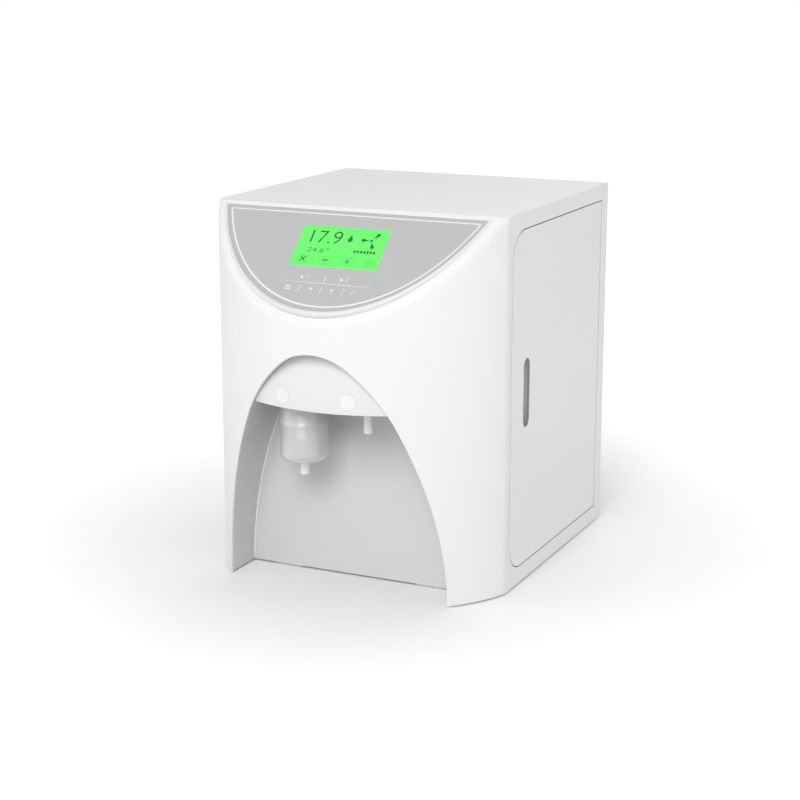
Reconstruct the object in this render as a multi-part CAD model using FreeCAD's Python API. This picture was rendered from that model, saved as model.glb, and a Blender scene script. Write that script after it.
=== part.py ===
# Bench-top ultrapure water system, in millimetres.
# +X is the user's right, +Y points to the back, +Z is up.
# The origin is on the bench, under the middle of the overall box.

import FreeCAD
import Part
import math
import os

V = FreeCAD.Vector

# Cabinet
width = 360.0
depth = 446.0
height = 430.0
ground_gap = 2.0            # bottom edge of the covers above the bench
wall = 3.0                  # moulded covers
sheet = 1.5                 # bent steel
seat_gap = 0.3              # between pieces that are not in contact
rear_recess = 8.0           # rear panel inside the rear edge
rear_lip = 12.0             # inward lip that the rear panel is fixed to

# Bowed front and console slope
bow_margin = 14.0           # bow's radius over half the width
corner_radius = 24.0
seam_land = 1.5             # flat side between the corner and the cover's seam
slope_angle = 46.5          # from the vertical
slope_reach = 112.5         # top edge of the slope behind the bow's apex
slope_round = 12.0
tab_width = 24.0
tab_length = 10.0
tab_spacing = 120.0

# Console, measured down the slope or in from the bow's apex
rim_inset = 11.8            # rim's radius under the bow's
rim_margin = 3.9
rim_height = 1.0
rim_gap = 0.4
film_inset = 14.0           # film's radius under the bow's
film_margin = 9.0
film_top = 6.0
film_thickness = 0.6
film_recess = 0.2
bezel_plate = 3.2
bezel_ledge = 4.0
ledge_thickness = 1.8
display_width = 106.5
display_height = 55.5
display_top = 27.5
display_depth = 8.0
display_border = 5.0
window_thickness = 1.2
upper_row = 96.2
lower_row = 114.3
upper_key = (38.0, 10.0)
lower_key = (20.0, 11.0)
upper_pitch = 48.0
lower_pitch = 26.4
key_thickness = 0.5
key_gap = 0.15
key_travel = 0.4
key_stem = 3.0
switch_size = 6.0
switch_height = 3.6
board_thickness = 1.6
board_margin = 6.0
board_drop = 12.0           # circuit board under the console face

# Dispensing recess: a basket-handle arch of tangent arcs
arch_land = 43.0            # arch's foot in from the cabinet's side
arch_side_radius = 485.5
arch_side_angle = 25.5
arch_haunch_radius = 176.5
arch_crown_radius = 65.5
arch_drop = 430.0           # centres of the arch's side arcs under the cabinet's top
recess_depth = 111.0
hood_inset = 6.0
hood_rise = 221.0           # hood's lip above the same centres
hood_rake = 16.0            # how far the hood leans back at the top of the arch
hood_wall = 2.5
hood_bands = 3              # flat bands that its curve is made of
hood_bead = 1.2
bracket_rise = 5.0          # outlet bracket above the hood's lip
bracket_half_width = 64.0
bracket_front = 26.0

# Outlets
outlet_spacing = 80.0
outlet_depth = 60.0
filter_radius = 27.75
filter_wall = 2.0
filter_drop = 71.0          # capsule's bottom under the hood's lip
filter_height = 66.0
filter_bottom_round = 9.0
filter_top_round = 3.0
filter_neck_radius = 8.0
filter_core_radius = 19.0
filter_spout_radius = 5.4
filter_spout_length = 17.0
spout_bore = 2.5
nozzle_radius = 5.6
nozzle_bore = 3.2
nozzle_drop = 32.0          # under the hood's lip
nozzle_nut = 10.0
disc_radius = 8.5
disc_rise = 14.0
disc_depth = 1.4
disc_proud = 0.25

# Side door
door_front_margin = 5.0     # door's front edge behind the seam
door_rear_margin = 23.5
door_top_margin = 20.0
door_bottom_margin = 22.5
door_gap = 1.2
door_corner = 34.0
door_rib = 7.0
door_rib_wall = 2.5
door_rib_margin = 22.0
door_rib_rear = 34.0
jamb_overlap = 8.0
jamb_land = 3.0
slot_width = 19.0
slot_height = 80.0
slot_margin = 46.5          # slot's centre behind the door's front edge
slot_rise = 7.0             # slot's centre above the door's centre
cup_margin = 8.0
cup_depth = 14.0
cup_wall = 2.0
hinge_inset = 4.8
hinge_back = 14.0
hinge_pin_radius = 1.5
hinge_clearance = 0.06
hinge_wall = 1.4
hinge_knuckle = 14.0
hinge_ear = 5.0
hinge_play = 0.4
hinge_reach = 20.0
hinge_leaf = 3.0
hinge_margin = 42.0
magnet_depth = 9.0
magnet_width = 11.0
magnet_height = 30.0
magnet_margin = 70.0
strike_thickness = 1.2

# Base and feet
base_lift = 2.0             # base plate above the covers' bottom edge
base_sheet = 2.0
base_flange = 9.0
foot_radius = 19.0
front_foot_spacing = 186.0
rear_foot_spacing = 280.0
foot_inset = 23.0           # half the distance of the rear feet's centres from the rear panel

# Rear panel
vent_length = 46.0
vent_height = 4.0
vent_pitch = 16.0
vent_rows = 6
vent_top_margin = 46.0
vent_margins = (58.0, 118.0, -74.0)   # columns in from the left side, or from the right below zero
port_margin = 38.0          # in from the right side
port_hex = 11.0
port_flange = 5.0
port_steps = (80.0, 40.0)   # feed to tank, tank to drain
port_body = 8.0
port_nut_height = 8.0
port_bore_depth = 11.0
tube_radius = 3.175
tube_sides = 12
tube_clearance = 0.075
inlet_margin = 70.0         # in from the left side
inlet_z = 74.0
inlet_flange = (50.0, 38.0)
inlet_body = (30.0, 31.0)
inlet_cavity = (24.2, 16.6)
inlet_cavity_drop = 5.0
inlet_depth = 17.0
inlet_corner = 3.0
fuse_size = (26.0, 7.6)
fuse_rise = 9.5
fuse_length = 20.0
rocker_z = 118.0
rocker_frame_size = (15.0, 21.0)
rocker_frame_face = 3.0
rocker_body = (12.4, 18.0)
rocker_size = (9.0, 15.0)
rocker_angle = 8.0
rocker_depth = 14.0
rocker_pivot_depth = 1.5
rocker_pin_radius = 1.2
rocker_pin_length = 1.0

# Inner frame and water path
wet_width = 144.0           # from the divider to the right side
divider_front = 36.0        # divider's front edge behind the recess
divider_top = 30.0
divider_flange = 20.0
cartridge_gap = 4.0
cartridge_front_gap = 3.0   # behind the divider's front edge
cartridge_rear_gap = 7.0    # before the pump
cartridge_bottom = 72.0
cartridge_drop = 56.0       # cartridge tops under the membrane's axis
cartridge_neck = (17.0, 12.0)
saddle_seat = 9.0           # cartridges out from the divider
saddle_height = 14.0
saddle_margin = 57.0
elbow_half = 6.5
elbow_arm = 4.0
elbow_arm_half = 5.0
membrane_radius = 26.0
membrane_front_gap = 10.0   # behind the divider's front edge
membrane_rear_gap = 47.5    # before the rear panel
membrane_drop = 58.0        # axis under the cabinet's top
membrane_cap = 22.0
membrane_cap_radius = 29.0
membrane_port = 12.0
membrane_port_length = 8.0
cell_size = 22.0
cell_gland = 8.0
pump_head_size = (64.0, 24.0, 64.0)
pump_head_chamfer = 12.0
pump_rear_gap = 11.5
pump_z = 44.0
pump_fitting = 8.0
pump_fitting_length = 8.0
pump_motor_radius = 27.0
pump_motor_length = 50.0
pump_cradle_size = (56.0, 46.0)
valve_body = (24.0, 30.0, 22.0)
valve_coil = (20.0, 20.0, 26.0)
polish_lane = 8.0           # front tubes ahead of the divider's front edge
tank_lane = 22.0
supply_size = (92.0, 120.0, 44.0)
supply_gaps = (30.0, 23.5)  # in from the left side and before the rear panel
supply_standoff = 4.0
supply_rail = 12.0
supply_rail_inset = 8.0
terminal_block = (8.0, 10.0, 14.0)      # in from each end, depth, height
control_board_size = (128.0, 104.0)
control_board_corner = (40.0, 240.0)    # behind the divider's front edge, under the cabinet's top
control_board_standoff = 8.0
control_rail = 6.0
control_rail_inset = 3.0
control_parts = (           # along, up, length, height and rise of each part
    (12.0, 14.0, 22.0, 22.0, 14.0),
    (50.0, 16.0, 30.0, 18.0, 10.0),
    (92.0, 20.0, 24.0, 14.0, 8.0),
    (20.0, 62.0, 16.0, 28.0, 16.0),
    (56.0, 60.0, 40.0, 24.0, 6.0),
)

# Derived places
front_y = -depth / 2
rear_y = depth / 2
side_x = width / 2
bow_radius = side_x + bow_margin
rim_radius = bow_radius - rim_inset
film_radius = bow_radius - film_inset
arch_half_width = side_x - arch_land
bow_y = front_y + bow_radius
corner_x = side_x - corner_radius
corner_y = bow_y - math.sqrt((bow_radius - corner_radius) ** 2 - corner_x ** 2)
seam_y = corner_y + seam_land
slope = math.radians(slope_angle)
slope_y = front_y + slope_reach
recess_y = front_y + recess_depth
hood_radius = bow_radius - hood_inset
arch_z = height - arch_drop
hood_lip = arch_z + hood_rise
filter_bottom = hood_lip - filter_drop
filter_top = filter_bottom + filter_height
nozzle_bottom = hood_lip - nozzle_drop
bracket_z = hood_lip + bracket_rise
outlet_y = front_y + outlet_depth
outlet_x = outlet_spacing / 2
base_z = ground_gap + base_lift
floor_z = base_z + base_sheet
panel_y = rear_y - rear_recess
panel_inner_y = panel_y - sheet
door_y0 = seam_y + door_front_margin
door_y1 = rear_y - door_rear_margin
door_z0 = door_bottom_margin
door_z1 = height - door_top_margin
hinge_x = side_x - hinge_inset
hinge_y = door_y1 - hinge_back
hinge_heights = (door_z0 + hinge_margin, door_z1 - hinge_margin)
magnet_heights = (door_z0 + magnet_margin, door_z1 - magnet_margin)
divider_x = side_x - wet_width
divider_y = recess_y + divider_front
port_x = side_x - port_margin
inlet_x = inlet_margin - side_x
vent_columns = [margin - side_x if margin > 0 else margin + side_x for margin in vent_margins]
pump_front = panel_inner_y - pump_rear_gap - pump_motor_length - pump_head_size[1]
cartridge_front = divider_y + cartridge_front_gap
cartridge_pitch = (pump_front - cartridge_rear_gap - cartridge_front + cartridge_gap) / 3
cartridge_radius = (cartridge_pitch - cartridge_gap) / 2
cartridge_x = divider_x + sheet + saddle_seat + cartridge_radius
polish_y, sediment_y, carbon_y = [cartridge_front + cartridge_radius + i * cartridge_pitch for i in range(3)]
membrane_z = height - membrane_drop
membrane_front = divider_y + membrane_front_gap
membrane_rear = panel_inner_y - membrane_rear_gap
cartridge_top = membrane_z - cartridge_drop
lower_z = cartridge_bottom - elbow_half - elbow_arm
upper_z = cartridge_top + elbow_half + elbow_arm
pump_x = cartridge_x + pump_head_size[0] / 4
nut_y = panel_inner_y - port_nut_height
feed_z = lower_z
tank_z = feed_z + port_steps[0]
drain_z = tank_z + port_steps[1]
neck_top = bracket_z + 2 * wall
outlet_tube_z = neck_top + elbow_half + elbow_arm
film_level = -film_recess - film_thickness


def box(x, y, z):
    """A block between two corners given as (low, high) pairs."""
    return Part.makeBox(x[1] - x[0], y[1] - y[0], z[1] - z[0], V(x[0], y[0], z[0]))


def block_at(centre, size):
    """A block about a centre."""
    return box(*[(c - s / 2, c + s / 2) for c, s in zip(centre, size)])


def rod(radius, start, end):
    span = end - start
    return Part.makeCylinder(radius, span.Length, start, span)


def turned(points, x, y):
    """A turned solid about a vertical axis from (radius, z) points."""
    corners = [V(x + r, y, z) for r, z in points]
    face = Part.Face(Part.makePolygon(corners + corners[:1]))
    return face.revolve(V(x, y, 0), V(0, 0, 1), 360)


def shoulder(radius, z, bend, steps):
    """Points round an edge, from the end face at z to the side; a top edge has a bend below zero."""
    size = abs(bend)
    points = []
    for i in range(steps + 1):
        angle = math.pi / 2 * i / steps
        points.append((radius - size + size * math.sin(angle), z + bend - bend * math.cos(angle)))
    return points


def prism(sides, radius, start, end):
    """A regular prism between two points on a line along an axis."""
    along = end - start
    side = V(0, 1, 0) if abs(along.z) > along.Length / 2 else V(0, 0, 1)
    across = along.cross(side).normalize()
    corners = []
    for i in range(sides):
        angle = 2 * math.pi * i / sides
        corners.append(start + across * (radius * math.cos(angle)) + side * (radius * math.sin(angle)))
    return Part.Face(Part.makePolygon(corners + corners[:1])).extrude(along)


def fuse(first, *others):
    solid = first
    for other in others:
        solid = solid.fuse(other)
    return solid.removeSplitter()


def group(solids):
    return Part.makeCompound(solids)


def rounded_box(x, y, z, radius, direction):
    """A block whose four edges along one direction are rounded."""
    block = box(x, y, z)
    edges = [e for e in block.Edges
             if abs(abs(e.tangentAt(e.FirstParameter).dot(direction)) - 1) < 1e-6]
    return block.makeFillet(radius, edges)


# Plan of the cabinet: bow, rounded corners and straight sides
def plan_face(inset, end_y):
    radius = bow_radius - inset
    corner = corner_radius - inset
    scale = radius / (bow_radius - corner_radius)
    tangent = V(corner_x * scale, bow_y + (corner_y - bow_y) * scale, 0)
    middle = math.atan2(corner_y - bow_y, corner_x) / 2
    bend = V(corner_x + corner * math.cos(middle), corner_y + corner * math.sin(middle), 0)
    side = V(corner_x + corner, corner_y, 0)
    back = V(side.x, end_y, 0)

    def mirror(p):
        return V(-p.x, p.y, 0)

    edges = [
        Part.Arc(mirror(tangent), V(0, bow_y - radius, 0), tangent),
        Part.Arc(tangent, bend, side),
        Part.LineSegment(side, back),
        Part.LineSegment(back, mirror(back)),
        Part.LineSegment(mirror(back), mirror(side)),
        Part.Arc(mirror(side), mirror(bend), mirror(tangent)),
    ]
    return Part.Face(Part.Wire([e.toShape() for e in edges]))


# Console frame: x across, y up the slope, z out of it, from the slope's top edge
def on_slope(solid):
    up = V(0, math.sin(slope), math.cos(slope))
    out = V(0, -math.cos(slope), math.sin(slope))
    turn = FreeCAD.Rotation(V(1, 0, 0), up, out, "XYZ")
    solid.Placement = FreeCAD.Placement(V(0, slope_y, height), turn)
    return solid


def rounded_slope(tall):
    """Round the edge between the console slope and the upright walls."""
    rim = []
    for edge in tall.Edges:
        centre = edge.valueAt((edge.FirstParameter + edge.LastParameter) / 2)
        drop = (centre.y - slope_y) * math.cos(slope) - (centre.z - height) * math.sin(slope)
        if abs(drop) < 1e-3 and centre.y < rear_y - 1:
            rim.append(edge)
    return tall.makeFillet(slope_round, rim)


def front_body(inset, end_y, low_z, rounded=False):
    """The front cover's outside, or the space inside it."""
    reach = height + depth
    body = plan_face(inset, rear_y).extrude(V(0, 0, reach - low_z))
    body.translate(V(0, 0, low_z))
    body = body.cut(on_slope(box((-width, width), (-depth, reach), (-inset, reach))))
    if rounded:
        body = rounded_slope(body)
    body = body.cut(box((-width, width), (-depth, depth), (height - inset, 3 * reach)))
    return body.cut(box((-width, width), (end_y, depth), (low_z - 1, 3 * reach)))


# Dispensing arch
def arch_prism(inset, y0, y1):
    side_centre = V(arch_half_width - arch_side_radius, y0, arch_z)
    side_angle = math.radians(arch_side_angle)
    offset = arch_side_radius - arch_haunch_radius
    haunch_centre = side_centre + V(math.cos(side_angle), 0, math.sin(side_angle)) * offset
    crown_rise = math.sqrt((arch_haunch_radius - arch_crown_radius) ** 2 - haunch_centre.x ** 2)
    crown_centre = V(0, y0, haunch_centre.z + crown_rise)
    crown_angle = math.atan2(crown_rise, -haunch_centre.x)

    def at(centre, radius, angle):
        return centre + V(math.cos(angle), 0, math.sin(angle)) * (radius - inset)

    def mirror(p):
        return V(-p.x, p.y, p.z)

    foot = at(side_centre, arch_side_radius, 0)
    side_middle = at(side_centre, arch_side_radius, side_angle / 2)
    haunch = at(side_centre, arch_side_radius, side_angle)
    haunch_middle = at(haunch_centre, arch_haunch_radius, (side_angle + crown_angle) / 2)
    shoulder_end = at(haunch_centre, arch_haunch_radius, crown_angle)
    top = at(crown_centre, arch_crown_radius, math.pi / 2)
    low = V(foot.x, y0, min(arch_z, 0) - wall)
    edges = [
        Part.LineSegment(low, foot),
        Part.Arc(foot, side_middle, haunch),
        Part.Arc(haunch, haunch_middle, shoulder_end),
        Part.Arc(shoulder_end, top, mirror(shoulder_end)),
        Part.Arc(mirror(shoulder_end), mirror(haunch_middle), mirror(haunch)),
        Part.Arc(mirror(haunch), mirror(side_middle), mirror(foot)),
        Part.LineSegment(mirror(foot), mirror(low)),
        Part.LineSegment(mirror(low), low),
    ]
    return Part.Face(Part.Wire([e.toShape() for e in edges])).extrude(V(0, y1 - y0, 0))


# D-shaped console outline: an upright round column cut by the slope
def console_prism(radius, margin, grow, low, high):
    major = (radius + grow) / math.sin(slope)
    centre = (front_y + margin + radius - slope_y) / math.sin(slope)
    ellipse = Part.Ellipse(V(0, centre - major, low), V(radius + grow, centre, low), V(0, centre, low))
    angle = math.acos((centre + film_top - grow) / major)
    arc = Part.ArcOfEllipse(ellipse, -angle, angle).toShape()
    ends = [v.Point for v in arc.Vertexes]
    face = Part.Face(Part.Wire([arc, Part.LineSegment(ends[1], ends[0]).toShape()]))
    return face.extrude(V(0, 0, high - low))


def bezel_prism(grow, low, high):
    return console_prism(rim_radius, rim_margin, grow, low, high)


def film_prism(grow, low, high):
    return console_prism(film_radius, film_margin, grow, low, high)


def top_tab(x):
    """A locating tab that reaches from the front cover under the cabinet's top."""
    high = height - wall - seat_gap
    half = tab_width / 2
    flat = box((x - half, x + half), (seam_y - tab_length, seam_y + tab_length), (high - sheet, high))
    root = box((x - half, x + half), (seam_y - tab_length, seam_y), (high - sheet, height - wall / 2))
    return flat.fuse(root)


def front_shell():
    outside = front_body(0, seam_y, ground_gap, rounded=True)
    shell = outside.cut(front_body(wall, seam_y + 1, ground_gap - 1))
    plate_back = film_level - bezel_plate
    ledge_back = plate_back - seat_gap - ledge_thickness
    collar = bezel_prism(rim_gap + wall, ledge_back, -wall / 2)
    shell = shell.fuse(on_slope(collar).common(front_body(wall / 2, seam_y, ground_gap)))
    shell = shell.cut(arch_prism(0, front_y - 1, seam_y + 1))
    shell = shell.cut(on_slope(bezel_prism(rim_gap, plate_back - seat_gap, 2 * wall)))
    shell = shell.cut(on_slope(bezel_prism(-bezel_ledge, ledge_back - wall, 0)))
    return fuse(shell, *[top_tab(i * tab_spacing) for i in (-1, 0, 1)])


def key_places():
    """(node name, x, distance down the slope, size) of each key."""
    places = []
    for i in range(2):
        places.append((f"upper_key_{i + 1}", (i - 0.5) * upper_pitch, upper_row, upper_key))
    for i in range(4):
        places.append((f"lower_key_{i + 1}", (i - 1.5) * lower_pitch, lower_row, lower_key))
    return places


def key_block(x, drop, size, grow, low, high):
    half = (size[0] / 2 + grow, size[1] / 2 + grow)
    return box((x - half[0], x + half[0]), (-drop - half[1], -drop + half[1]), (low, high))


def key_post(x, drop, grow, low, high):
    return key_block(x, drop, (key_stem, key_stem), grow, low, high)


def display_block(grow, low, high):
    half = display_width / 2 + grow
    return box((-half, half), (-display_top - display_height - grow, -display_top + grow), (low, high))


def console_bezel():
    back = film_level - bezel_plate
    plate = bezel_prism(0, back, rim_height)
    plate = plate.cut(film_prism(seat_gap / 2, film_level, rim_height + 1))
    plate = plate.cut(display_block(display_border + seat_gap, back - 1, 0))
    for name, x, drop, size in key_places():
        plate = plate.cut(key_block(x, drop, size, seat_gap, film_level - 2 * key_travel, 0))
        plate = plate.cut(key_post(x, drop, seat_gap, back - 1, 0))
    return on_slope(plate)


def overlay_film():
    film = film_prism(0, film_level, -film_recess)
    film = film.cut(display_block(0, film_level - 1, 0))
    for name, x, drop, size in key_places():
        film = film.cut(key_block(x, drop, size, key_gap, film_level - 1, 0))
    return on_slope(film)


def display_window():
    return on_slope(display_block(-key_gap, -film_recess - window_thickness, -film_recess))


def display_module():
    glass = -film_recess - window_thickness
    frame = display_block(display_border, glass - display_depth, film_level)
    frame = frame.cut(display_block(seat_gap, glass, 0))
    board = display_block(display_border + board_margin, -board_drop - board_thickness, -board_drop)
    pillar = display_block(-display_border, -board_drop, glass - display_depth)
    return on_slope(fuse(frame, pillar, board))


def key_board():
    x = 1.5 * lower_pitch + lower_key[0] / 2
    low = -lower_row - lower_key[1] / 2
    high = -display_top - display_height - display_border - board_margin - seat_gap
    return on_slope(box((-x, x), (low, high), (-board_drop, -board_drop + board_thickness)))


def switch_face():
    """Level of the switch plungers, under the key stems."""
    return -board_drop + board_thickness + switch_height


def tact_switches():
    base = -board_drop + board_thickness
    solids = []
    for name, x, drop, size in key_places():
        body = key_block(x, drop, (switch_size, switch_size), 0, base, switch_face() - 1)
        solids.append(on_slope(fuse(body, key_post(x, drop, 0, base, switch_face()))))
    return group(solids)


def key(x, drop, size):
    low = -film_recess - key_thickness
    cap = key_block(x, drop, size, 0, low, -film_recess)
    return on_slope(fuse(cap, key_post(x, drop, 0, switch_face() + key_travel + seat_gap, low)))


# Lining, hood and outlets of the arch
def recess_liner():
    liner = arch_prism(-wall, front_y, recess_y).cut(arch_prism(0, front_y - 1, recess_y + 1))
    room = rod(bow_radius - wall - seat_gap, V(0, bow_y, ground_gap), V(0, bow_y, height))
    return liner.common(room)


def hood_space(inset, bands):
    """The space behind the hood's leaning front, whose curve is turned in bands about the bow's axis."""
    arch_top = arch_prism(0, front_y, recess_y).BoundBox.ZMax
    rise = arch_top - hood_lip
    curve = (rise ** 2 + hood_rake ** 2) / (2 * hood_rake)
    lean = math.asin(1.2 * rise / curve)
    points = [(0, hood_lip)]
    for i in range(bands + 1):
        angle = lean * i / bands
        points.append((hood_radius - inset - curve * (1 - math.cos(angle)),
                       hood_lip + curve * math.sin(angle)))
    points.append((0, points[-1][1]))
    return turned(points, 0, bow_y)


def disc_places():
    """(front centre, direction out) of the two round label discs."""
    places = []
    for side in (-1, 1):
        angle = math.asin(side * outlet_x / hood_radius)
        out = V(math.sin(angle), -math.cos(angle), 0)
        face = V(0, bow_y, hood_lip + disc_rise) + out * hood_radius
        places.append((face + out * disc_proud, out))
    return places


def dispense_hood():
    hood = hood_space(0, hood_bands).cut(hood_space(hood_wall, 1))
    low = V(0, bow_y, hood_lip)
    high = V(0, bow_y, hood_lip + hood_wall)
    bead = rod(hood_radius, low, high).cut(rod(hood_radius - hood_wall - hood_bead, low, high))
    hood = fuse(hood, bead).common(arch_prism(seat_gap, front_y, recess_y - seat_gap))
    for face, out in disc_places():
        hood = hood.cut(rod(disc_radius, face - out * disc_depth, face + out * hood_wall))
    return hood


def outlet_discs():
    return group([rod(disc_radius, face - out * disc_depth, face) for face, out in disc_places()])


def outlet_bracket():
    x = (-bracket_half_width, bracket_half_width)
    plate = box(x, (front_y + bracket_front, recess_y), (bracket_z, bracket_z + sheet))
    flange = box(x, (recess_y - sheet, recess_y), (bracket_z, bracket_z + 4 * wall))
    plate = fuse(plate, flange)
    for side, radius in ((-1, filter_neck_radius), (1, nozzle_radius)):
        hole = V(side * outlet_x, outlet_y, bracket_z - 1)
        plate = plate.cut(rod(radius + seat_gap, hole, hole + V(0, 0, 2 * wall)))
    return plate


def recess_back_panel():
    panel = arch_prism(-wall, recess_y, recess_y + wall)
    panel = panel.cut(box((-width, width), (front_y, rear_y), (-height, ground_gap)))
    for side in (-1, 1):
        hole = V(side * outlet_x, recess_y - 1, outlet_tube_z)
        panel = panel.cut(rod(2 * tube_radius, hole, hole + V(0, wall + 2, 0)))
    return panel


def final_filter_housing():
    """A welded capsule: neck, body and spout round a hollow."""
    spout_z = filter_bottom - filter_spout_length
    outer = [(0, spout_z), (filter_spout_radius, spout_z), (filter_spout_radius, filter_bottom)]
    outer += shoulder(filter_radius, filter_bottom, filter_bottom_round, 2)
    outer += shoulder(filter_radius, filter_top, -filter_top_round, 1)[::-1]
    outer += [(filter_neck_radius, filter_top), (filter_neck_radius, neck_top), (0, neck_top)]
    low, high = filter_room()
    housing = turned(outer, -outlet_x, outlet_y).cut(rod(filter_radius - filter_wall, low, high))
    return housing.cut(rod(spout_bore, V(-outlet_x, outlet_y, spout_z), low))


def filter_room():
    """Ends of the hollow on the capsule's axis."""
    return (V(-outlet_x, outlet_y, filter_bottom + filter_bottom_round),
            V(-outlet_x, outlet_y, filter_top - filter_top_round))


def final_filter_core():
    low, high = filter_room()
    return rod(filter_core_radius, low, high - V(0, 0, seat_gap))


def ro_nozzle():
    low = V(outlet_x, outlet_y, nozzle_bottom)
    top = V(outlet_x, outlet_y, neck_top)
    seat = V(outlet_x, outlet_y, bracket_z)
    nut = prism(6, nozzle_nut, seat - V(0, 0, wall), seat)
    nozzle = fuse(rod(nozzle_radius, low, top), nut)
    return nozzle.cut(rod(nozzle_bore, low, seat))


# Cabinet cover with its door opening
def door_prism(grow, x, rear_grow):
    """A slab with the door's outline, grown on three sides and at the rear by its own amount."""
    y0 = door_y0 - grow
    slab = box(x, (y0, door_y1 + rear_grow), (door_z0 - grow, door_z1 + grow))
    edges = [e for e in slab.Edges if e.BoundBox.YMax < y0 + 1
             and e.BoundBox.YLength < 0.01 and e.BoundBox.ZLength < 0.01]
    return slab.makeFillet(door_corner + grow, edges)


def cabinet_cover():
    inner_x = side_x - wall
    cover = box((-side_x, side_x), (seam_y, rear_y), (ground_gap, height))
    cover = cover.cut(box((-inner_x, inner_x), (seam_y - 1, rear_y + 1), (0, height - wall)))
    lip_y = (panel_inner_y - wall, panel_inner_y)
    lip = box((-inner_x, inner_x), lip_y, (floor_z + base_flange, height - wall))
    lip = lip.cut(box((-inner_x + rear_lip, inner_x - rear_lip), (lip_y[0] - 1, rear_y),
                      (0, height - wall - rear_lip)))
    jamb_x = (side_x - 2 * wall - seat_gap, side_x - wall - seat_gap)
    jamb = door_prism(door_gap + jamb_land, (jamb_x[0], inner_x), -hinge_back - 2 * wall)
    jamb = jamb.cut(door_prism(door_gap, (jamb_x[1], side_x), 0))
    jamb = jamb.cut(door_prism(-jamb_overlap, (jamb_x[0] - 1, side_x), 0))
    jamb = jamb.cut(box((0, side_x), (front_y, seam_y), (0, height)))
    return fuse(cover, lip, jamb).cut(door_prism(door_gap, (inner_x, side_x + 1), door_gap))


def slot_centre():
    return (door_y0 + slot_margin, (door_z0 + door_z1) / 2 + slot_rise)


def finger_slot(x):
    y, z = slot_centre()
    radius = slot_width / 2
    reach = slot_height / 2 - radius
    ends = [rod(radius, V(x[0], y, z + s * reach), V(x[1], y, z + s * reach)) for s in (-1, 1)]
    return fuse(box(x, (y - radius, y + radius), (z - reach, z + reach)), *ends)


def side_door():
    rib_x = (side_x - wall - door_rib, side_x - wall)
    door = door_prism(0, (side_x - wall, side_x), 0)
    rib = door_prism(-door_rib_margin, rib_x, -door_rib_rear)
    inner = door_prism(-door_rib_margin - door_rib_wall, (rib_x[0] - 1, side_x),
                       -door_rib_rear - door_rib_wall)
    door = door.fuse(rib.cut(inner))
    radius = hinge_pin_radius + hinge_wall
    for z in hinge_heights:
        low = V(hinge_x, hinge_y, z - hinge_knuckle / 2)
        high = V(hinge_x, hinge_y, z + hinge_knuckle / 2)
        web = box((hinge_x, side_x - wall / 2), (hinge_y - radius, hinge_y + radius), (low.z, high.z))
        door = door.fuse(rod(radius, low, high)).fuse(web)
        door = door.cut(rod(hinge_pin_radius + hinge_clearance, low, high))
        for side in (-1, 1):
            near = z + side * hinge_knuckle / 2
            far = near + side * (hinge_ear + 2 * hinge_play)
            room = rod(radius + hinge_play, V(hinge_x, hinge_y, near), V(hinge_x, hinge_y, far))
            door = door.cut(room)
    return door.cut(finger_slot((side_x - wall - 1, side_x + 1))).removeSplitter()


def door_handle_cup():
    y, z = slot_centre()
    back = side_x - wall - cup_depth
    half = (slot_width / 2 + cup_margin, slot_height / 2 + cup_margin)

    def tub(grow, x):
        return rounded_box(x, (y - half[0] - grow, y + half[0] + grow),
                           (z - half[1] - grow, z + half[1] + grow), cup_margin + grow, V(1, 0, 0))

    return tub(cup_wall, (back, side_x - wall)).cut(tub(0, (back + cup_wall, side_x)))


def hinge_brackets():
    """Swan-neck brackets that reach round the door's rear edge to the fixed pins."""
    solids = []
    radius = hinge_pin_radius + hinge_wall
    reach = hinge_y + hinge_back + wall
    for z in hinge_heights:
        span = hinge_knuckle / 2 + hinge_play + hinge_ear
        heights = (z - span, z + span)
        back_x = hinge_x - hinge_reach
        bar_y = (hinge_y - radius - hinge_leaf, hinge_y - hinge_pin_radius / 3)
        leg = box((back_x, back_x + hinge_leaf), (bar_y[0], reach + hinge_leaf), heights)
        top = box((back_x, side_x - wall), (reach, reach + hinge_leaf), heights)
        flange = box((side_x - wall - sheet, side_x - wall), (reach, reach + 2.5 * hinge_leaf), heights)
        bracket = fuse(leg, top, flange)
        for side in (-1, 1):
            near = z + side * (hinge_knuckle / 2 + hinge_play)
            low, high = sorted((near, near + side * hinge_ear))
            arm = box((back_x, hinge_x), bar_y, (low, high))
            ear = prism(8, radius, V(hinge_x, hinge_y, low), V(hinge_x, hinge_y, high))
            bracket = bracket.fuse(arm).fuse(ear)
        hole = rod(hinge_pin_radius, V(hinge_x, hinge_y, heights[0]), V(hinge_x, hinge_y, heights[1]))
        solids.append(bracket.removeSplitter().cut(hole))
    return group(solids)


def hinge_pins():
    reach = V(0, 0, hinge_knuckle / 2 + hinge_play + hinge_ear)
    places = [V(hinge_x, hinge_y, z) for z in hinge_heights]
    return group([rod(hinge_pin_radius, at - reach, at + reach) for at in places])


def door_magnets():
    face = side_x - wall - strike_thickness - seat_gap
    front = door_y0 + jamb_overlap
    return group([box((face - magnet_depth, face), (front, front + magnet_width),
                      (z - magnet_height / 2, z + magnet_height / 2)) for z in magnet_heights])


def strike_plates():
    face = side_x - wall
    front = door_y0 + jamb_overlap
    half = magnet_height / 2 - wall
    return group([box((face - strike_thickness, face), (front + seat_gap, front + magnet_width),
                      (z - half, z + half)) for z in magnet_heights])


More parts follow.
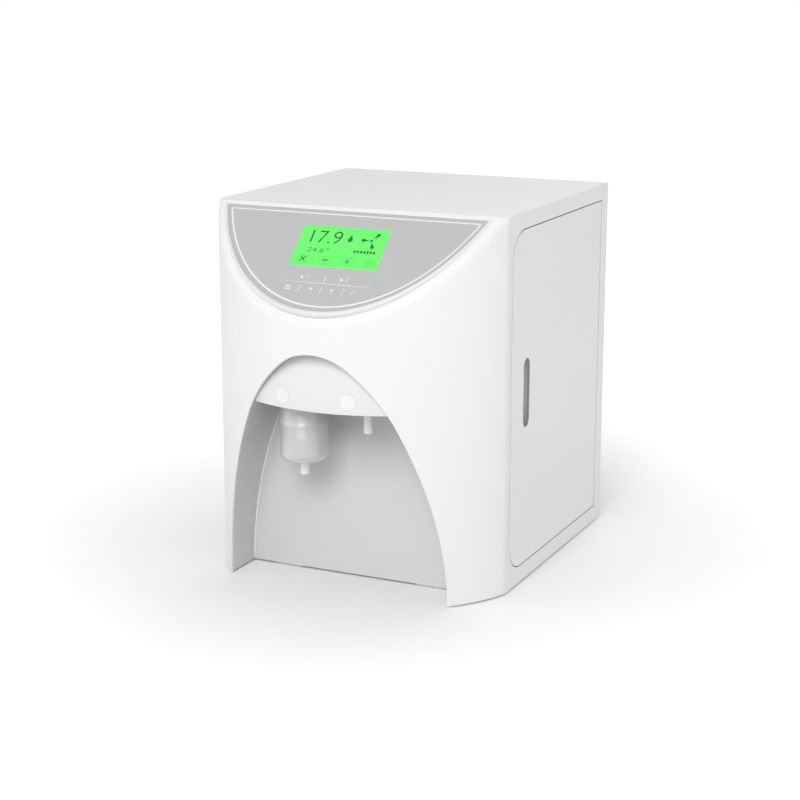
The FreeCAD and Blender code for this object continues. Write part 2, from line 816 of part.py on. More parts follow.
# Base, feet and rear panel
def base_plate():
    edge = side_x - wall - seat_gap
    back = panel_inner_y
    plate = plan_face(wall + seat_gap, back).extrude(V(0, 0, base_sheet))
    plate.translate(V(0, 0, base_z))
    plate = plate.cut(box((-width, width), (front_y, recess_y + wall + seat_gap), (0, height)))
    flange_z = (base_z, floor_z + base_flange)
    left = box((-edge, -edge + sheet), (door_y0, back - 2 * wall), flange_z)
    right = box((edge - sheet, edge), (door_y0, back - 2 * wall), flange_z)
    rear = box((-edge + rear_lip, edge - rear_lip), (back - sheet, back), flange_z)
    rear = rear.cut(box((divider_x - seat_gap, divider_x + divider_flange + seat_gap), (front_y, rear_y),
                        (floor_z, height)))
    return fuse(plate, left, right, rear)


def rubber_feet():
    front = recess_y + wall + seat_gap + foot_radius
    rear = panel_y - 2 * foot_inset
    places = [(s * front_foot_spacing / 2, front) for s in (-1, 1)]
    places += [(s * rear_foot_spacing / 2, rear) for s in (-1, 1)]
    return group([rod(foot_radius, V(x, y, 0), V(x, y, base_z)) for x, y in places])


def rear_panel():
    edge = side_x - wall - seat_gap
    through = (panel_inner_y - 1, panel_y + 1)
    panel = box((-edge, edge), (panel_inner_y, panel_y), (base_z, height - wall - seat_gap))
    cuts = []
    for x in vent_columns:
        for row in range(vent_rows):
            cuts.append(wall_block(x, height - vent_top_margin - row * vent_pitch,
                                   (vent_length, vent_height), 0, through))
    for z in (feed_z, drain_z, tank_z):
        cuts.append(rod(port_body + seat_gap, V(port_x, through[0], z), V(port_x, through[1], z)))
    cuts.append(wall_block(inlet_x, inlet_z, inlet_body, seat_gap, through))
    cuts.append(wall_block(inlet_x, rocker_z, rocker_body, seat_gap, through))
    return panel.cut(group(cuts))


def wall_block(x, z, size, grow, y):
    """A block through or on the rear panel about a point of it."""
    return box((x - size[0] / 2 - grow, x + size[0] / 2 + grow), y,
               (z - size[1] / 2 - grow, z + size[1] / 2 + grow))


def bulkhead_ports():
    """Tube unions with a hexagon outside, a nut inside and a bore for the tube."""
    solids = []
    for z in (feed_z, drain_z, tank_z):
        face = V(port_x, panel_y + port_flange, z)
        outer = V(port_x, panel_y, z)
        inner = V(port_x, panel_inner_y, z)
        nut_end = V(port_x, nut_y, z)
        union = fuse(prism(6, port_hex, outer, face), rod(port_body, inner, outer),
                     prism(6, port_hex, nut_end, inner))
        solids.append(union.cut(rod(tube_radius + tube_clearance, face - V(0, port_bore_depth, 0), face)))
    return group(solids)


def power_inlet():
    face = panel_y + wall
    half = (inlet_flange[0] / 2, inlet_flange[1] / 2)
    flange = rounded_box((inlet_x - half[0], inlet_x + half[0]), (panel_y, face),
                         (inlet_z - half[1], inlet_z + half[1]), inlet_corner, V(0, 1, 0))
    back = panel_inner_y - inlet_depth
    socket = fuse(flange, wall_block(inlet_x, inlet_z, inlet_body, 0, (back, panel_y)))
    cavity_z = inlet_z - inlet_cavity_drop
    cavity = wall_block(inlet_x, cavity_z, inlet_cavity, 0, (back + wall, face + 1))
    corners = [e for e in cavity.Edges if e.BoundBox.YLength > wall and e.BoundBox.ZMax < cavity_z]
    socket = socket.cut(cavity.makeChamfer(inlet_corner, corners))
    pins = [wall_block(inlet_x + x, cavity_z + z, (2.0, 4.0), 0, (back + wall, face - wall))
            for x, z in ((-7.0, -1.5), (0.0, 2.5), (7.0, -1.5))]
    room_y = (panel_y - fuse_length - seat_gap, face + 1)
    room = wall_block(inlet_x, inlet_z + fuse_rise, fuse_size, seat_gap, room_y)
    return fuse(socket.cut(room), *pins)


def fuse_drawer():
    tray = wall_block(inlet_x, inlet_z + fuse_rise, fuse_size, 0, (panel_y - fuse_length, panel_y + wall + 1))
    hollow = wall_block(inlet_x, inlet_z + fuse_rise + sheet, fuse_size, -sheet,
                        (panel_y - fuse_length + sheet, panel_y - sheet))
    return tray.cut(hollow)


def rocker_pivot():
    return V(inlet_x, panel_y + rocker_pivot_depth, rocker_z)


def rocker_pins(grow):
    reach = V(rocker_size[0] / 2 + rocker_pin_length + grow, 0, 0)
    return rod(rocker_pin_radius + grow, rocker_pivot() - reach, rocker_pivot() + reach)


def rocker_frame():
    back = panel_y - rocker_depth
    flange = wall_block(inlet_x, rocker_z, rocker_frame_size, 0, (panel_y, panel_y + rocker_frame_face))
    body = wall_block(inlet_x, rocker_z, rocker_body, 0, (back, panel_y))
    room = wall_block(inlet_x, rocker_z, rocker_size, seat_gap, (back + wall, panel_y + rocker_frame_face))
    return fuse(flange, body).cut(room).cut(rocker_pins(hinge_clearance))


def power_rocker():
    """A rocker whose lower half stands proud while the switch is off."""
    pivot = rocker_pivot()
    half = rocker_size[1] / 2
    rise = math.tan(math.radians(rocker_angle)) * half
    face = pivot.y + wall
    low = pivot.y - wall
    outline = [(-half + 1, low), (half - 1, low), (half - seat_gap, face - rise),
               (0, face), (-half + 1, face + rise)]
    corners = [V(pivot.x - rocker_size[0] / 2, y, pivot.z + z) for z, y in outline]
    block = Part.Face(Part.makePolygon(corners + corners[:1])).extrude(V(rocker_size[0], 0, 0))
    return fuse(block, rocker_pins(0))


# Inner frame and water path
def divider_plate():
    top = height - divider_top
    plate = box((divider_x, divider_x + sheet), (divider_y, panel_inner_y), (floor_z, top))
    flange_x = (divider_x, divider_x + divider_flange)
    foot = box(flange_x, (divider_y, panel_inner_y), (floor_z, floor_z + sheet))
    back = box(flange_x, (panel_inner_y - sheet, panel_inner_y), (floor_z, top))
    return fuse(plate, foot, back)


def cartridge(y):
    neck, rise = cartridge_neck
    low = cartridge_bottom
    high = cartridge_top
    return turned([(0, low), (neck, low), (neck, low + rise), (cartridge_radius, low + rise),
                   (cartridge_radius, high - rise), (neck, high - rise), (neck, high), (0, high)],
                  cartridge_x, y)


def saddle(y, z, size, solid):
    """A block from the divider to a round housing, hollowed to its shape."""
    block = box((divider_x + sheet, cartridge_x), (y - size[0] / 2, y + size[0] / 2),
                (z - size[1] / 2, z + size[1] / 2))
    return block.cut(solid)


def cartridge_saddles():
    solids = []
    size = (1.5 * cartridge_radius, saddle_height)
    for y in (polish_y, sediment_y, carbon_y):
        room = rod(cartridge_radius + seat_gap, V(cartridge_x, y, 0), V(cartridge_x, y, height))
        for z in (cartridge_bottom + saddle_margin, cartridge_top - saddle_margin):
            solids.append(saddle(y, z, size, room))
    return group(solids)


def membrane_saddles():
    size = (saddle_height, 1.5 * membrane_radius)
    front, rear = (V(cartridge_x, y, membrane_z) for y in (front_y, rear_y))
    room = rod(membrane_radius + seat_gap, front, rear)
    length = membrane_rear - membrane_front
    return group([saddle(membrane_front + length * t, membrane_z, size, room) for t in (0.3, 0.68)])


def membrane_ports():
    """(centre on the housing's axis, direction) of the reject, feed and product ports."""
    return [(V(cartridge_x, membrane_rear - membrane_cap / 2, membrane_z), V(1, 0, 0)),
            (V(cartridge_x, pump_front + pump_head_size[1] / 2, membrane_z), V(0, 0, -1)),
            (V(cartridge_x, polish_y, membrane_z), V(0, 0, -1))]


def membrane_port_end(index):
    centre, way = membrane_ports()[index]
    return centre + way * (membrane_cap_radius + membrane_port_length)


def membrane_housing():
    front = V(cartridge_x, membrane_front, membrane_z)
    rear = V(cartridge_x, membrane_rear, membrane_z)
    cap = V(0, membrane_cap, 0)
    caps = [rod(membrane_cap_radius, front, front + cap), rod(membrane_cap_radius, rear - cap, rear)]
    reach = membrane_cap_radius + membrane_port_length
    ports = [block_at(at + way * reach / 2, [reach if abs(w) > 0.5 else membrane_port for w in way])
             for at, way in membrane_ports()]
    return fuse(rod(membrane_radius, front, rear), *caps, *ports)


def conductivity_cell():
    top = membrane_port_end(2)
    middle = V(top.x, top.y, (top.z + cartridge_top) / 2)
    body = block_at(middle, (cell_size, cell_size, top.z - cartridge_top))
    side = middle + V(cell_size / 2, 0, 0)
    return fuse(body, prism(6, cell_gland, side, side + V(cell_gland, 0, 0)))


def pump_outlet():
    high = pump_z + pump_head_size[2] / 2 + pump_fitting_length
    return V(cartridge_x, pump_front + pump_head_size[1] / 2, high)


def pump_inlet():
    return V(pump_x + pump_head_size[0] / 4, pump_front - pump_fitting_length, lower_z)


def pump_head():
    centre = V(pump_x, pump_front + pump_head_size[1] / 2, pump_z)
    head = block_at(centre, pump_head_size)
    edges = [e for e in head.Edges if e.BoundBox.YLength > pump_fitting]
    head = head.makeChamfer(pump_head_chamfer, edges)
    low = pump_outlet() - V(0, 0, pump_fitting_length / 2)
    front = pump_inlet() + V(0, pump_fitting_length / 2, 0)
    return fuse(head, block_at(low, (pump_fitting, pump_fitting, pump_fitting_length)),
                block_at(front, (pump_fitting, pump_fitting_length, pump_fitting)))


def pump_motor():
    start = V(pump_x, pump_front + pump_head_size[1], pump_z)
    return rod(pump_motor_radius, start, start + V(0, pump_motor_length, 0))


def pump_cradle():
    start = pump_front + pump_head_size[1] + seat_gap
    half = pump_cradle_size[0] / 2
    block = box((pump_x - half, pump_x + half), (start, start + pump_cradle_size[1]),
                (floor_z, pump_z - pump_motor_radius / 2))
    room = rod(pump_motor_radius + seat_gap, V(pump_x, front_y, pump_z), V(pump_x, rear_y, pump_z))
    return block.cut(room)


def inlet_valve():
    middle = V(port_x, nut_y - valve_body[1] / 2, feed_z)
    coil = middle - V(0, 0, (valve_body[2] + valve_coil[2]) / 2)
    return fuse(block_at(middle, valve_body), block_at(coil, valve_coil))


# Rigid tubes: straight runs along the axes, joined by elbow fittings
def tube_routes():
    """Points of each water line with the arms that its first and last points need, if they are elbows."""
    down = V(0, 0, -1)
    up = V(0, 0, 1)
    polish_front = divider_y - polish_lane
    tank_front = divider_y - tank_lane
    high = outlet_tube_z
    reject = membrane_port_end(0)
    pump_in = pump_inlet()
    return [
        ([V(cartridge_x, sediment_y, upper_z), V(cartridge_x, carbon_y, upper_z)], down, down),
        ([V(port_x, nut_y - valve_body[1], feed_z), V(port_x, sediment_y, feed_z),
          V(cartridge_x, sediment_y, feed_z)], None, up),
        ([V(cartridge_x, carbon_y, lower_z), V(pump_in.x, carbon_y, lower_z), pump_in], up, None),
        ([pump_outlet(), membrane_port_end(1)], None, None),
        ([reject, V(port_x, reject.y, reject.z), V(port_x, reject.y, drain_z), V(port_x, nut_y, drain_z)],
         None, None),
        ([V(cartridge_x, polish_y, lower_z), V(cartridge_x, polish_front, lower_z),
          V(cartridge_x, polish_front, high), V(-outlet_x, polish_front, high),
          V(-outlet_x, outlet_y, high)], up, down),
        ([V(port_x, nut_y, tank_z), V(port_x, tank_front, tank_z), V(port_x, tank_front, high),
          V(outlet_x, tank_front, high), V(outlet_x, outlet_y, high)], None, down),
    ]


def elbow_places():
    """Each elbow's centre with the directions in which its arms point."""
    places = []
    for route, first, last in tube_routes():
        ends = {0: first, len(route) - 1: last}
        for j, at in enumerate(route):
            ways = [(route[k] - at).normalize() for k in (j - 1, j + 1) if 0 <= k < len(route)]
            if ends.get(j):
                ways.append(ends[j])
            if len(ways) > 1:
                places.append((at, ways))
    return places


def tube_elbows():
    solids = []
    for at, ways in elbow_places():
        elbow = block_at(at, [2 * elbow_half] * 3)
        for way in ways:
            size = [elbow_arm if abs(w) > 0.5 else 2 * elbow_arm_half for w in way]
            elbow = elbow.fuse(block_at(at + way * (elbow_half + elbow_arm / 2), size))
        solids.append(elbow.removeSplitter())
    return group(solids)


def water_tubes():
    corners = [at for at, ways in elbow_places()]
    trim = elbow_half + elbow_arm
    solids = []
    for route, first, last in tube_routes():
        for start, end in zip(route, route[1:]):
            way = (end - start).normalize()
            low = start + way * trim if any(start.isEqual(c, 1e-6) for c in corners) else start
            high = end - way * trim if any(end.isEqual(c, 1e-6) for c in corners) else end
            solids.append(prism(tube_sides, tube_radius, low, high))
    return group(solids)


# Electrical side
def power_supply():
    wide, long, high = supply_size
    x = (supply_gaps[0] - side_x, supply_gaps[0] - side_x + wide)
    y1 = panel_inner_y - supply_gaps[1]
    y0 = y1 - long
    z0 = floor_z + supply_standoff
    case = box(x, (y0, y1), (z0, z0 + high))
    inset, reach, rise = terminal_block
    terminals = box((x[0] + inset, x[1] - inset), (y0 - reach, y0),
                    (z0 + supply_standoff, z0 + supply_standoff + rise))
    rails = [box(x, (y, y + supply_rail), (floor_z, z0))
             for y in (y0 + supply_rail_inset, y1 - supply_rail_inset - supply_rail)]
    return fuse(case, terminals, *rails)


def control_board():
    y0 = divider_y + control_board_corner[0]
    z0 = height - control_board_corner[1]
    face = divider_x - control_board_standoff
    back = face - board_thickness
    y1 = y0 + control_board_size[0]
    z1 = z0 + control_board_size[1]
    board = box((back, face), (y0, y1), (z0, z1))
    rails = [box((face, divider_x), (y0, y1), (z, z + control_rail))
             for z in (z0 + control_rail_inset, z1 - control_rail_inset - control_rail)]
    parts = [box((back - rise, back), (y0 + y, y0 + y + long), (z0 + z, z0 + z + high))
             for y, z, long, high, rise in control_parts]
    return fuse(board, *rails, *parts)


def all_nodes():
    nodes = {
        "front_shell": front_shell(),
        "recess_liner": recess_liner(),
        "recess_back_panel": recess_back_panel(),
        "dispense_hood": dispense_hood(),
        "outlet_bracket": outlet_bracket(),
        "outlet_discs": outlet_discs(),
        "final_filter_housing": final_filter_housing(),
        "final_filter_core": final_filter_core(),
        "ro_nozzle": ro_nozzle(),
        "console_bezel": console_bezel(),
        "overlay_film": overlay_film(),
        "display_window": display_window(),
        "display_module": display_module(),
        "key_board": key_board(),
        "tact_switches": tact_switches(),
        "cabinet_cover": cabinet_cover(),
        "side_door": side_door(),
        "door_handle_cup": door_handle_cup(),
        "door_hinge_brackets": hinge_brackets(),
        "door_hinge_pins": hinge_pins(),
        "door_magnets": door_magnets(),
        "door_strike_plates": strike_plates(),
        "base_plate": base_plate(),
        "rubber_feet": rubber_feet(),
        "rear_panel": rear_panel(),
        "bulkhead_ports": bulkhead_ports(),
        "power_inlet": power_inlet(),
        "fuse_drawer": fuse_drawer(),
        "rocker_frame": rocker_frame(),
        "power_rocker": power_rocker(),
        "divider_plate": divider_plate(),
        "polishing_cartridge": cartridge(polish_y),
        "sediment_cartridge": cartridge(sediment_y),
        "carbon_cartridge": cartridge(carbon_y),
        "cartridge_saddles": cartridge_saddles(),
        "membrane_housing": membrane_housing(),
        "membrane_saddles": membrane_saddles(),
        "conductivity_cell": conductivity_cell(),
        "pump_head": pump_head(),
        "pump_motor": pump_motor(),
        "pump_cradle": pump_cradle(),
        "inlet_valve": inlet_valve(),
        "tube_elbows": tube_elbows(),
        "water_tubes": water_tubes(),
        "power_supply": power_supply(),
        "control_board": control_board(),
    }
    for name, x, drop, size in key_places():
        nodes[name] = key(x, drop, size)
    return nodes


os.makedirs("parts", exist_ok=True)
for node, shape in all_nodes().items():
    shape.exportStep(f"parts/{node}.step")
    state = "ok" if shape.isValid() else "INVALID"
    print(f"{node:24s} solids {len(shape.Solids)}  volume {shape.Volume / 1000:9.2f} cm3  {state}")
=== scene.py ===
import math
import bmesh
import bpy
from mathutils import Matrix, Vector, kdtree


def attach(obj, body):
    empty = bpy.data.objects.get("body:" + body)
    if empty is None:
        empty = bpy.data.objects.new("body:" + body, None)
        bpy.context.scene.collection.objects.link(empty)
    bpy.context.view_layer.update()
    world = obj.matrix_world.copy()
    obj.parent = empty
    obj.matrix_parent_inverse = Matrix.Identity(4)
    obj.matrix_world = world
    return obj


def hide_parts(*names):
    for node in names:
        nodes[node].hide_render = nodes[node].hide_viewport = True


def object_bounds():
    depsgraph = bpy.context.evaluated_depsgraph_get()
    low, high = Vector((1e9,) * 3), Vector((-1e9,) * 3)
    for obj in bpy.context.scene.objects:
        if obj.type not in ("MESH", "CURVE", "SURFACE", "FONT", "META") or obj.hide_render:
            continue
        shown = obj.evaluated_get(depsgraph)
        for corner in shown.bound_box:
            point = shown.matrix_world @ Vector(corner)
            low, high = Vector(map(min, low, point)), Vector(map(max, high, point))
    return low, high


# Bench-top ultrapure water system.
# +X is the user's right, +Y the back, +Z up. Sizes are in millimetres and are scaled as meshes are made.

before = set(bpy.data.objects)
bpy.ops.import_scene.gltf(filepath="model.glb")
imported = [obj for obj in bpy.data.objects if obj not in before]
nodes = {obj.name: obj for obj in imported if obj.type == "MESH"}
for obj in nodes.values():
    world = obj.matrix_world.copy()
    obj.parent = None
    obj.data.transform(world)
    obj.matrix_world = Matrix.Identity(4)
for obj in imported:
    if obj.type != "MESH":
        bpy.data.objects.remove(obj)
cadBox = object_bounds()
scene = bpy.context.scene
mm = 0.001
hair = 0.000001  # points closer than about this, in metres, are one point
lowest = cadBox[0] / mm
highest = cadBox[1] / mm
print("frame:", len(nodes), "nodes")


# place in metres, angles in degrees, lens and sensor in millimetres
camera = {
    "place": (0.89946, -1.91419, 0.71128), "tilt": 76.051, "turn": 25.118,
    "lens": 82.18, "sensor": 36.0,
}


def makeCamera():
    lens = bpy.data.cameras.new("camera")
    lens.lens = camera["lens"]
    lens.sensor_width = camera["sensor"]
    viewer = bpy.data.objects.new("camera", lens)
    viewer.location = camera["place"]
    viewer.rotation_euler = (math.radians(camera["tilt"]), 0, math.radians(camera["turn"]))
    scene.collection.objects.link(viewer)
    scene.camera = viewer


makeCamera()


paint = {
    "cabinet": (0.85, 0.852, 0.855),
    "front": (0.84, 0.843, 0.845),
    # trim is the front's white plastic drawn darker: painted shade on the hood, the console's rim and its
    # bead
    "trim": (0.765, 0.768, 0.77),
    # lining and recess are darker copies of the front's white plastic: painted shade inside the recess
    "lining": (0.62, 0.622, 0.624),
    "recess": (0.67, 0.672, 0.674),
    "overlay": (0.495, 0.497, 0.501),
    "lit": (0.127, 0.93, 0.133),
    "ink": (0.006, 0.14, 0.02),
    "faintInk": (0.05, 0.55, 0.06),
}


def newMaterial(name):
    material = bpy.data.materials.new(name)
    material.use_nodes = True
    tree = material.node_tree
    return material, tree, tree.nodes["Principled BSDF"]


def noiseOf(tree, scale, detail=3.0, stretch=None):
    place = tree.nodes.new("ShaderNodeTexCoord")
    source = place.outputs["Object"]
    if stretch:
        mapping = tree.nodes.new("ShaderNodeMapping")
        mapping.inputs["Scale"].default_value = stretch
        tree.links.new(source, mapping.inputs["Vector"])
        source = mapping.outputs["Vector"]
    noise = tree.nodes.new("ShaderNodeTexNoise")
    noise.inputs["Scale"].default_value = scale
    noise.inputs["Detail"].default_value = detail
    tree.links.new(source, noise.inputs["Vector"])
    return noise.outputs["Fac"]


def spanOf(tree, source, low, high):
    span = tree.nodes.new("ShaderNodeMapRange")
    span.inputs["To Min"].default_value = low
    span.inputs["To Max"].default_value = high
    tree.links.new(source, span.inputs["Value"])
    return span.outputs["Result"]


def blendOf(tree, source, first, second):
    blend = tree.nodes.new("ShaderNodeMix")
    blend.data_type = "RGBA"
    blend.inputs["A"].default_value = list(first) + [1]
    blend.inputs["B"].default_value = list(second) + [1]
    tree.links.new(source, blend.inputs["Factor"])
    return blend.outputs["Result"]


def bump(tree, shader, source, depth, strength):
    node = tree.nodes.new("ShaderNodeBump")
    node.inputs["Distance"].default_value = depth
    node.inputs["Strength"].default_value = strength
    tree.links.new(source, node.inputs["Height"])
    tree.links.new(node.outputs["Normal"], shader.inputs["Normal"])


skin = {"cloudScale": 14.0, "smearScale": 45.0, "smearDetail": 4.0, "grainDetail": 2.0, "grainStrength": 0.35}


def makeFinish(name, colour, roughness, grain, depth, spread=0.012, wear=0.05, stretch=None, **sockets):
    # fine grain, a faint cloudiness in the colour and an uneven sheen
    material, tree, shader = newMaterial(name)
    dark = [c * (1 - spread) for c in colour]
    light = [min(1.0, c * (1 + spread)) for c in colour]
    cloud = noiseOf(tree, skin["cloudScale"])
    tree.links.new(blendOf(tree, cloud, dark, light), shader.inputs["Base Color"])
    smear = noiseOf(tree, skin["smearScale"], skin["smearDetail"], stretch)
    tree.links.new(spanOf(tree, smear, roughness - wear, roughness + wear), shader.inputs["Roughness"])
    bump(tree, shader, noiseOf(tree, grain, skin["grainDetail"], stretch), depth, skin["grainStrength"])
    for key, value in sockets.items():
        shader.inputs[key.replace("_", " ")].default_value = value
    return material


# name, colour, roughness, scale and depth of the grain, unevenness of the colour and of the sheen, stretch
powderCoat = makeFinish("powderCoat", paint["cabinet"], 0.42, 1400.0, 0.00004)
mouldedFront = makeFinish("mouldedFront", paint["front"], 0.42, 2600.0, 0.00002, Specular_IOR_Level=0.25)
# painted shade: a darker copy of the white plastic for the hood, the console's rim and its bead
mouldedTrim = makeFinish("mouldedTrim", paint["trim"], 0.4, 2600.0, 0.00002, Specular_IOR_Level=0.25)
# painted shade: the recess's lining and back wall in darker copies of the white plastic
mouldedLining = makeFinish("mouldedLining", paint["lining"], 0.42, 2600.0, 0.00002)
mouldedRecess = makeFinish("mouldedRecess", paint["recess"], 0.42, 2600.0, 0.00002)
overlayPrint = makeFinish("overlayPrint", paint["overlay"], 0.36, 3800.0, 0.000008)
blackPlastic = makeFinish("blackPlastic", (0.016, 0.016, 0.018), 0.42, 1800.0, 0.00003, 0.2)
blackCase = makeFinish("blackCase", (0.028, 0.028, 0.031), 0.5, 1200.0, 0.00005, 0.2)
cupGrey = makeFinish("cupGrey", (0.88, 0.88, 0.885), 0.45, 1400.0, 0.00003)
# painted shade: dark grey for the collar along the hand slot's edge
collarGrey = makeFinish("collarGrey", (0.30, 0.30, 0.305), 0.45, 1400.0, 0.00003)
# painted shade: black for the lip that darkens the side door's gap
darkRubber = makeFinish("darkRubber", (0.02, 0.02, 0.021), 0.6, 900.0, 0.00003, 0.2)
footRubber = makeFinish("footRubber", (0.52, 0.52, 0.52), 0.75, 900.0, 0.00005, 0.1)
whiteFitting = makeFinish("whiteFitting", (0.70, 0.705, 0.70), 0.36, 2200.0, 0.00001)
tubePlastic = makeFinish("tubePlastic", (0.78, 0.785, 0.79), 0.28, 1600.0, 0.00001, 0.03)
cartridgePlastic = makeFinish("cartridgePlastic", (0.64, 0.67, 0.70), 0.33, 1500.0, 0.00002)
zincSheet = makeFinish("zincSheet", (0.52, 0.53, 0.54), 0.32, 420.0, 0.00002, 0.12, 0.1, Metallic=1.0)
brushedSteel = makeFinish("brushedSteel", (0.56, 0.56, 0.57), 0.28, 300.0, 0.00002, 0.06, 0.1,
                          (1, 1, 30), Metallic=1.0)
motorPaint = makeFinish("motorPaint", (0.05, 0.055, 0.06), 0.3, 900.0, 0.00003, 0.15)
solderMask = makeFinish("solderMask", (0.012, 0.11, 0.035), 0.35, 700.0, 0.00002, 0.25)
foldedAlloy = makeFinish("foldedAlloy", (0.60, 0.61, 0.62), 0.38, 380.0, 0.00002, 0.08, 0.08, (1, 24, 1),
                         Metallic=1.0)
# whiter than the recess round it: a painted highlight along the recess's edge
whiteBead = makeFinish("whiteBead", (0.90, 0.90, 0.90), 0.3, 2200.0, 0.00001)
milkyTube = makeFinish("milkyTube", (0.89, 0.89, 0.89), 0.2, 2200.0, 0.00001)
whitePrint = makeFinish("whitePrint", (0.92, 0.92, 0.92), 0.42, 3000.0, 0.000005)
darkInk = makeFinish("darkInk", paint["ink"], 0.3, 3000.0, 0.000002, 0.05)
faintInk = makeFinish("faintInk", paint["faintInk"], 0.3, 3000.0, 0.000002, 0.1)
pleatedCore = makeFinish("pleatedCore", (0.80, 0.80, 0.78), 0.6, 260.0, 0.0004, 0.05, 0.05, (1, 1, 0.02))


litPane = {
    "glow": 0.95, "dimmest": 0.96, "cloudScale": 22.0, "cover": (0.02, 0.12, 0.02, 1),
    "sheenScale": 60.0, "sheen": (0.2, 0.28),
}


def makeLitWindow():
    # a back-lit pane: its own light plus the sheen of its cover
    material, tree, shader = newMaterial("litWindow")
    cloud = noiseOf(tree, litPane["cloudScale"])
    glow = blendOf(tree, cloud, [c * litPane["dimmest"] for c in paint["lit"]], paint["lit"])
    tree.links.new(glow, shader.inputs["Emission Color"])
    shader.inputs["Emission Strength"].default_value = litPane["glow"]
    shader.inputs["Base Color"].default_value = litPane["cover"]
    sheen = noiseOf(tree, litPane["sheenScale"])
    tree.links.new(spanOf(tree, sheen, *litPane["sheen"]), shader.inputs["Roughness"])
    return material


capsulePlastic = {
    "cloudScale": 30.0, "colours": ((0.93, 0.932, 0.935), (0.97, 0.97, 0.972)),
    "sheenScale": 90.0, "sheen": (0.1, 0.18),
    "grain": (500.0, 2.0), "grainDepth": 0.00002, "grainStrength": 0.3,
    "sockets": {"IOR": 1.49, "Transmission Weight": 0.62, "Subsurface Weight": 0.1,
                "Subsurface Radius": (0.01, 0.01, 0.01), "Coat Weight": 0.7, "Coat Roughness": 0.06},
}


def makeClearCapsule():
    # milky polypropylene that lets some light through
    material, tree, shader = newMaterial("clearCapsule")
    cloud = noiseOf(tree, capsulePlastic["cloudScale"])
    tree.links.new(blendOf(tree, cloud, *capsulePlastic["colours"]), shader.inputs["Base Color"])
    sheen = noiseOf(tree, capsulePlastic["sheenScale"])
    tree.links.new(spanOf(tree, sheen, *capsulePlastic["sheen"]), shader.inputs["Roughness"])
    for key, value in capsulePlastic["sockets"].items():
        shader.inputs[key].default_value = value
    grain = noiseOf(tree, *capsulePlastic["grain"])
    bump(tree, shader, grain, capsulePlastic["grainDepth"], capsulePlastic["grainStrength"])
    return material


litWindow = makeLitWindow()
clearCapsule = makeClearCapsule()
print("materials ready")


def nodeSpan(name):
    # lowest and highest corner of a node, in millimetres
    corners = [nodes[name].matrix_world @ Vector(c) / mm for c in nodes[name].bound_box]
    return [Vector([pick(axis) for axis in zip(*corners)]) for pick in (min, max)]


def meshOf(name, points, faces):
    mesh = bpy.data.meshes.new(name)
    mesh.from_pydata([Vector(p) * mm for p in points], [], faces)
    return mesh


def tidyMesh(mesh, turnFaces=True):
    shape = bmesh.new()
    shape.from_mesh(mesh)
    bmesh.ops.remove_doubles(shape, verts=shape.verts, dist=2 * hair)
    bmesh.ops.dissolve_degenerate(shape, edges=shape.edges, dist=2 * hair)
    if turnFaces:
        bmesh.ops.recalc_face_normals(shape, faces=shape.faces)
    shape.to_mesh(mesh)
    shape.free()


def addPiece(name, mesh, material, body="cabinet"):
    piece = bpy.data.objects.new(name, mesh)
    scene.collection.objects.link(piece)
    mesh.materials.clear()
    mesh.materials.append(material)
    mesh.shade_smooth()
    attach(piece, body)
    return piece


def roundEdges(piece, width, segments=3, angle=35, weld=False):
    if weld:
        join = piece.modifiers.new("join", "WELD")
        join.merge_threshold = 10 * hair
    bevel = piece.modifiers.new("roundEdges", "BEVEL")
    bevel.width = width * mm
    bevel.segments = segments
    bevel.limit_method = "ANGLE"
    bevel.angle_limit = math.radians(angle)
    bevel.harden_normals = True
    evenNormals(piece)


def evenNormals(piece):
    normals = piece.modifiers.new("evenNormals", "WEIGHTED_NORMAL")
    normals.keep_sharp = True
    normals.weight = 80


def thicken(piece, wall):
    # gives an open skin its wall, on its inner side
    thick = piece.modifiers.new("wall", "SOLIDIFY")
    thick.thickness = wall * mm
    thick.offset = -1
    thick.use_even_offset = True
    graph = bpy.context.evaluated_depsgraph_get()
    mesh = bpy.data.meshes.new_from_object(piece.evaluated_get(graph))
    piece.modifiers.clear()
    piece.data = mesh


def turnedMesh(name, profile, centre, segments=72):
    # a closed turned solid about a vertical axis, from (radius, z) points
    points = []
    faces = []
    count = len(profile)
    for i in range(segments):
        angle = 2 * math.pi * i / segments
        points += [(centre[0] + r * math.cos(angle), centre[1] + r * math.sin(angle), z) for r, z in profile]
    for i in range(segments):
        j = (i + 1) % segments
        for k in range(count):
            n = (k + 1) % count
            faces.append((i * count + k, j * count + k, j * count + n, i * count + n))
    mesh = meshOf(name, points, faces)
    tidyMesh(mesh)
    return mesh


def loftMesh(name, rings):
    # a solid through cross-sections of like point counts, closed at both ends
    count = len(rings[0])
    last = len(rings) - 1
    faces = [tuple(range(count)), tuple(reversed(range(last * count, (last + 1) * count)))]
    for i in range(last):
        for k in range(count):
            n = (k + 1) % count
            faces.append((i * count + k, i * count + n, (i + 1) * count + n, (i + 1) * count + k))
    mesh = meshOf(name, [p for ring in rings for p in ring], faces)
    tidyMesh(mesh)
    return mesh


def arcPoints(centre, radius, start, end, steps):
    # points of an arc in a plane, angles in degrees
    points = []
    for i in range(steps + 1):
        angle = math.radians(start + (end - start) * i / steps)
        points.append((centre[0] + radius * math.cos(angle), centre[1] + radius * math.sin(angle)))
    return points


# angles in degrees
shell = {
    "bowRadius": 194.0, "cornerRadius": 24.0, "sideLand": 1.5,
    "slopeAngle": 46.5, "slopeReach": 112.5, "slopeRound": 12.0,
    "wall": 3.0, "groundGap": 2.0,
    "archHalfWidth": 137.0, "sideRadius": 485.5, "sideAngle": 25.5,
    "haunchRadius": 176.5, "crownRadius": 65.5,
    "recessDepth": 111.0, "archRound": 2.4, "edgeRound": 0.5,
    "borderDrop": 2.4, "borderHalf": 150.0,
    "wallRows": 8, "roundRows": 9, "legColumns": 12, "cornerColumns": 8, "archRoundSteps": 5,
}

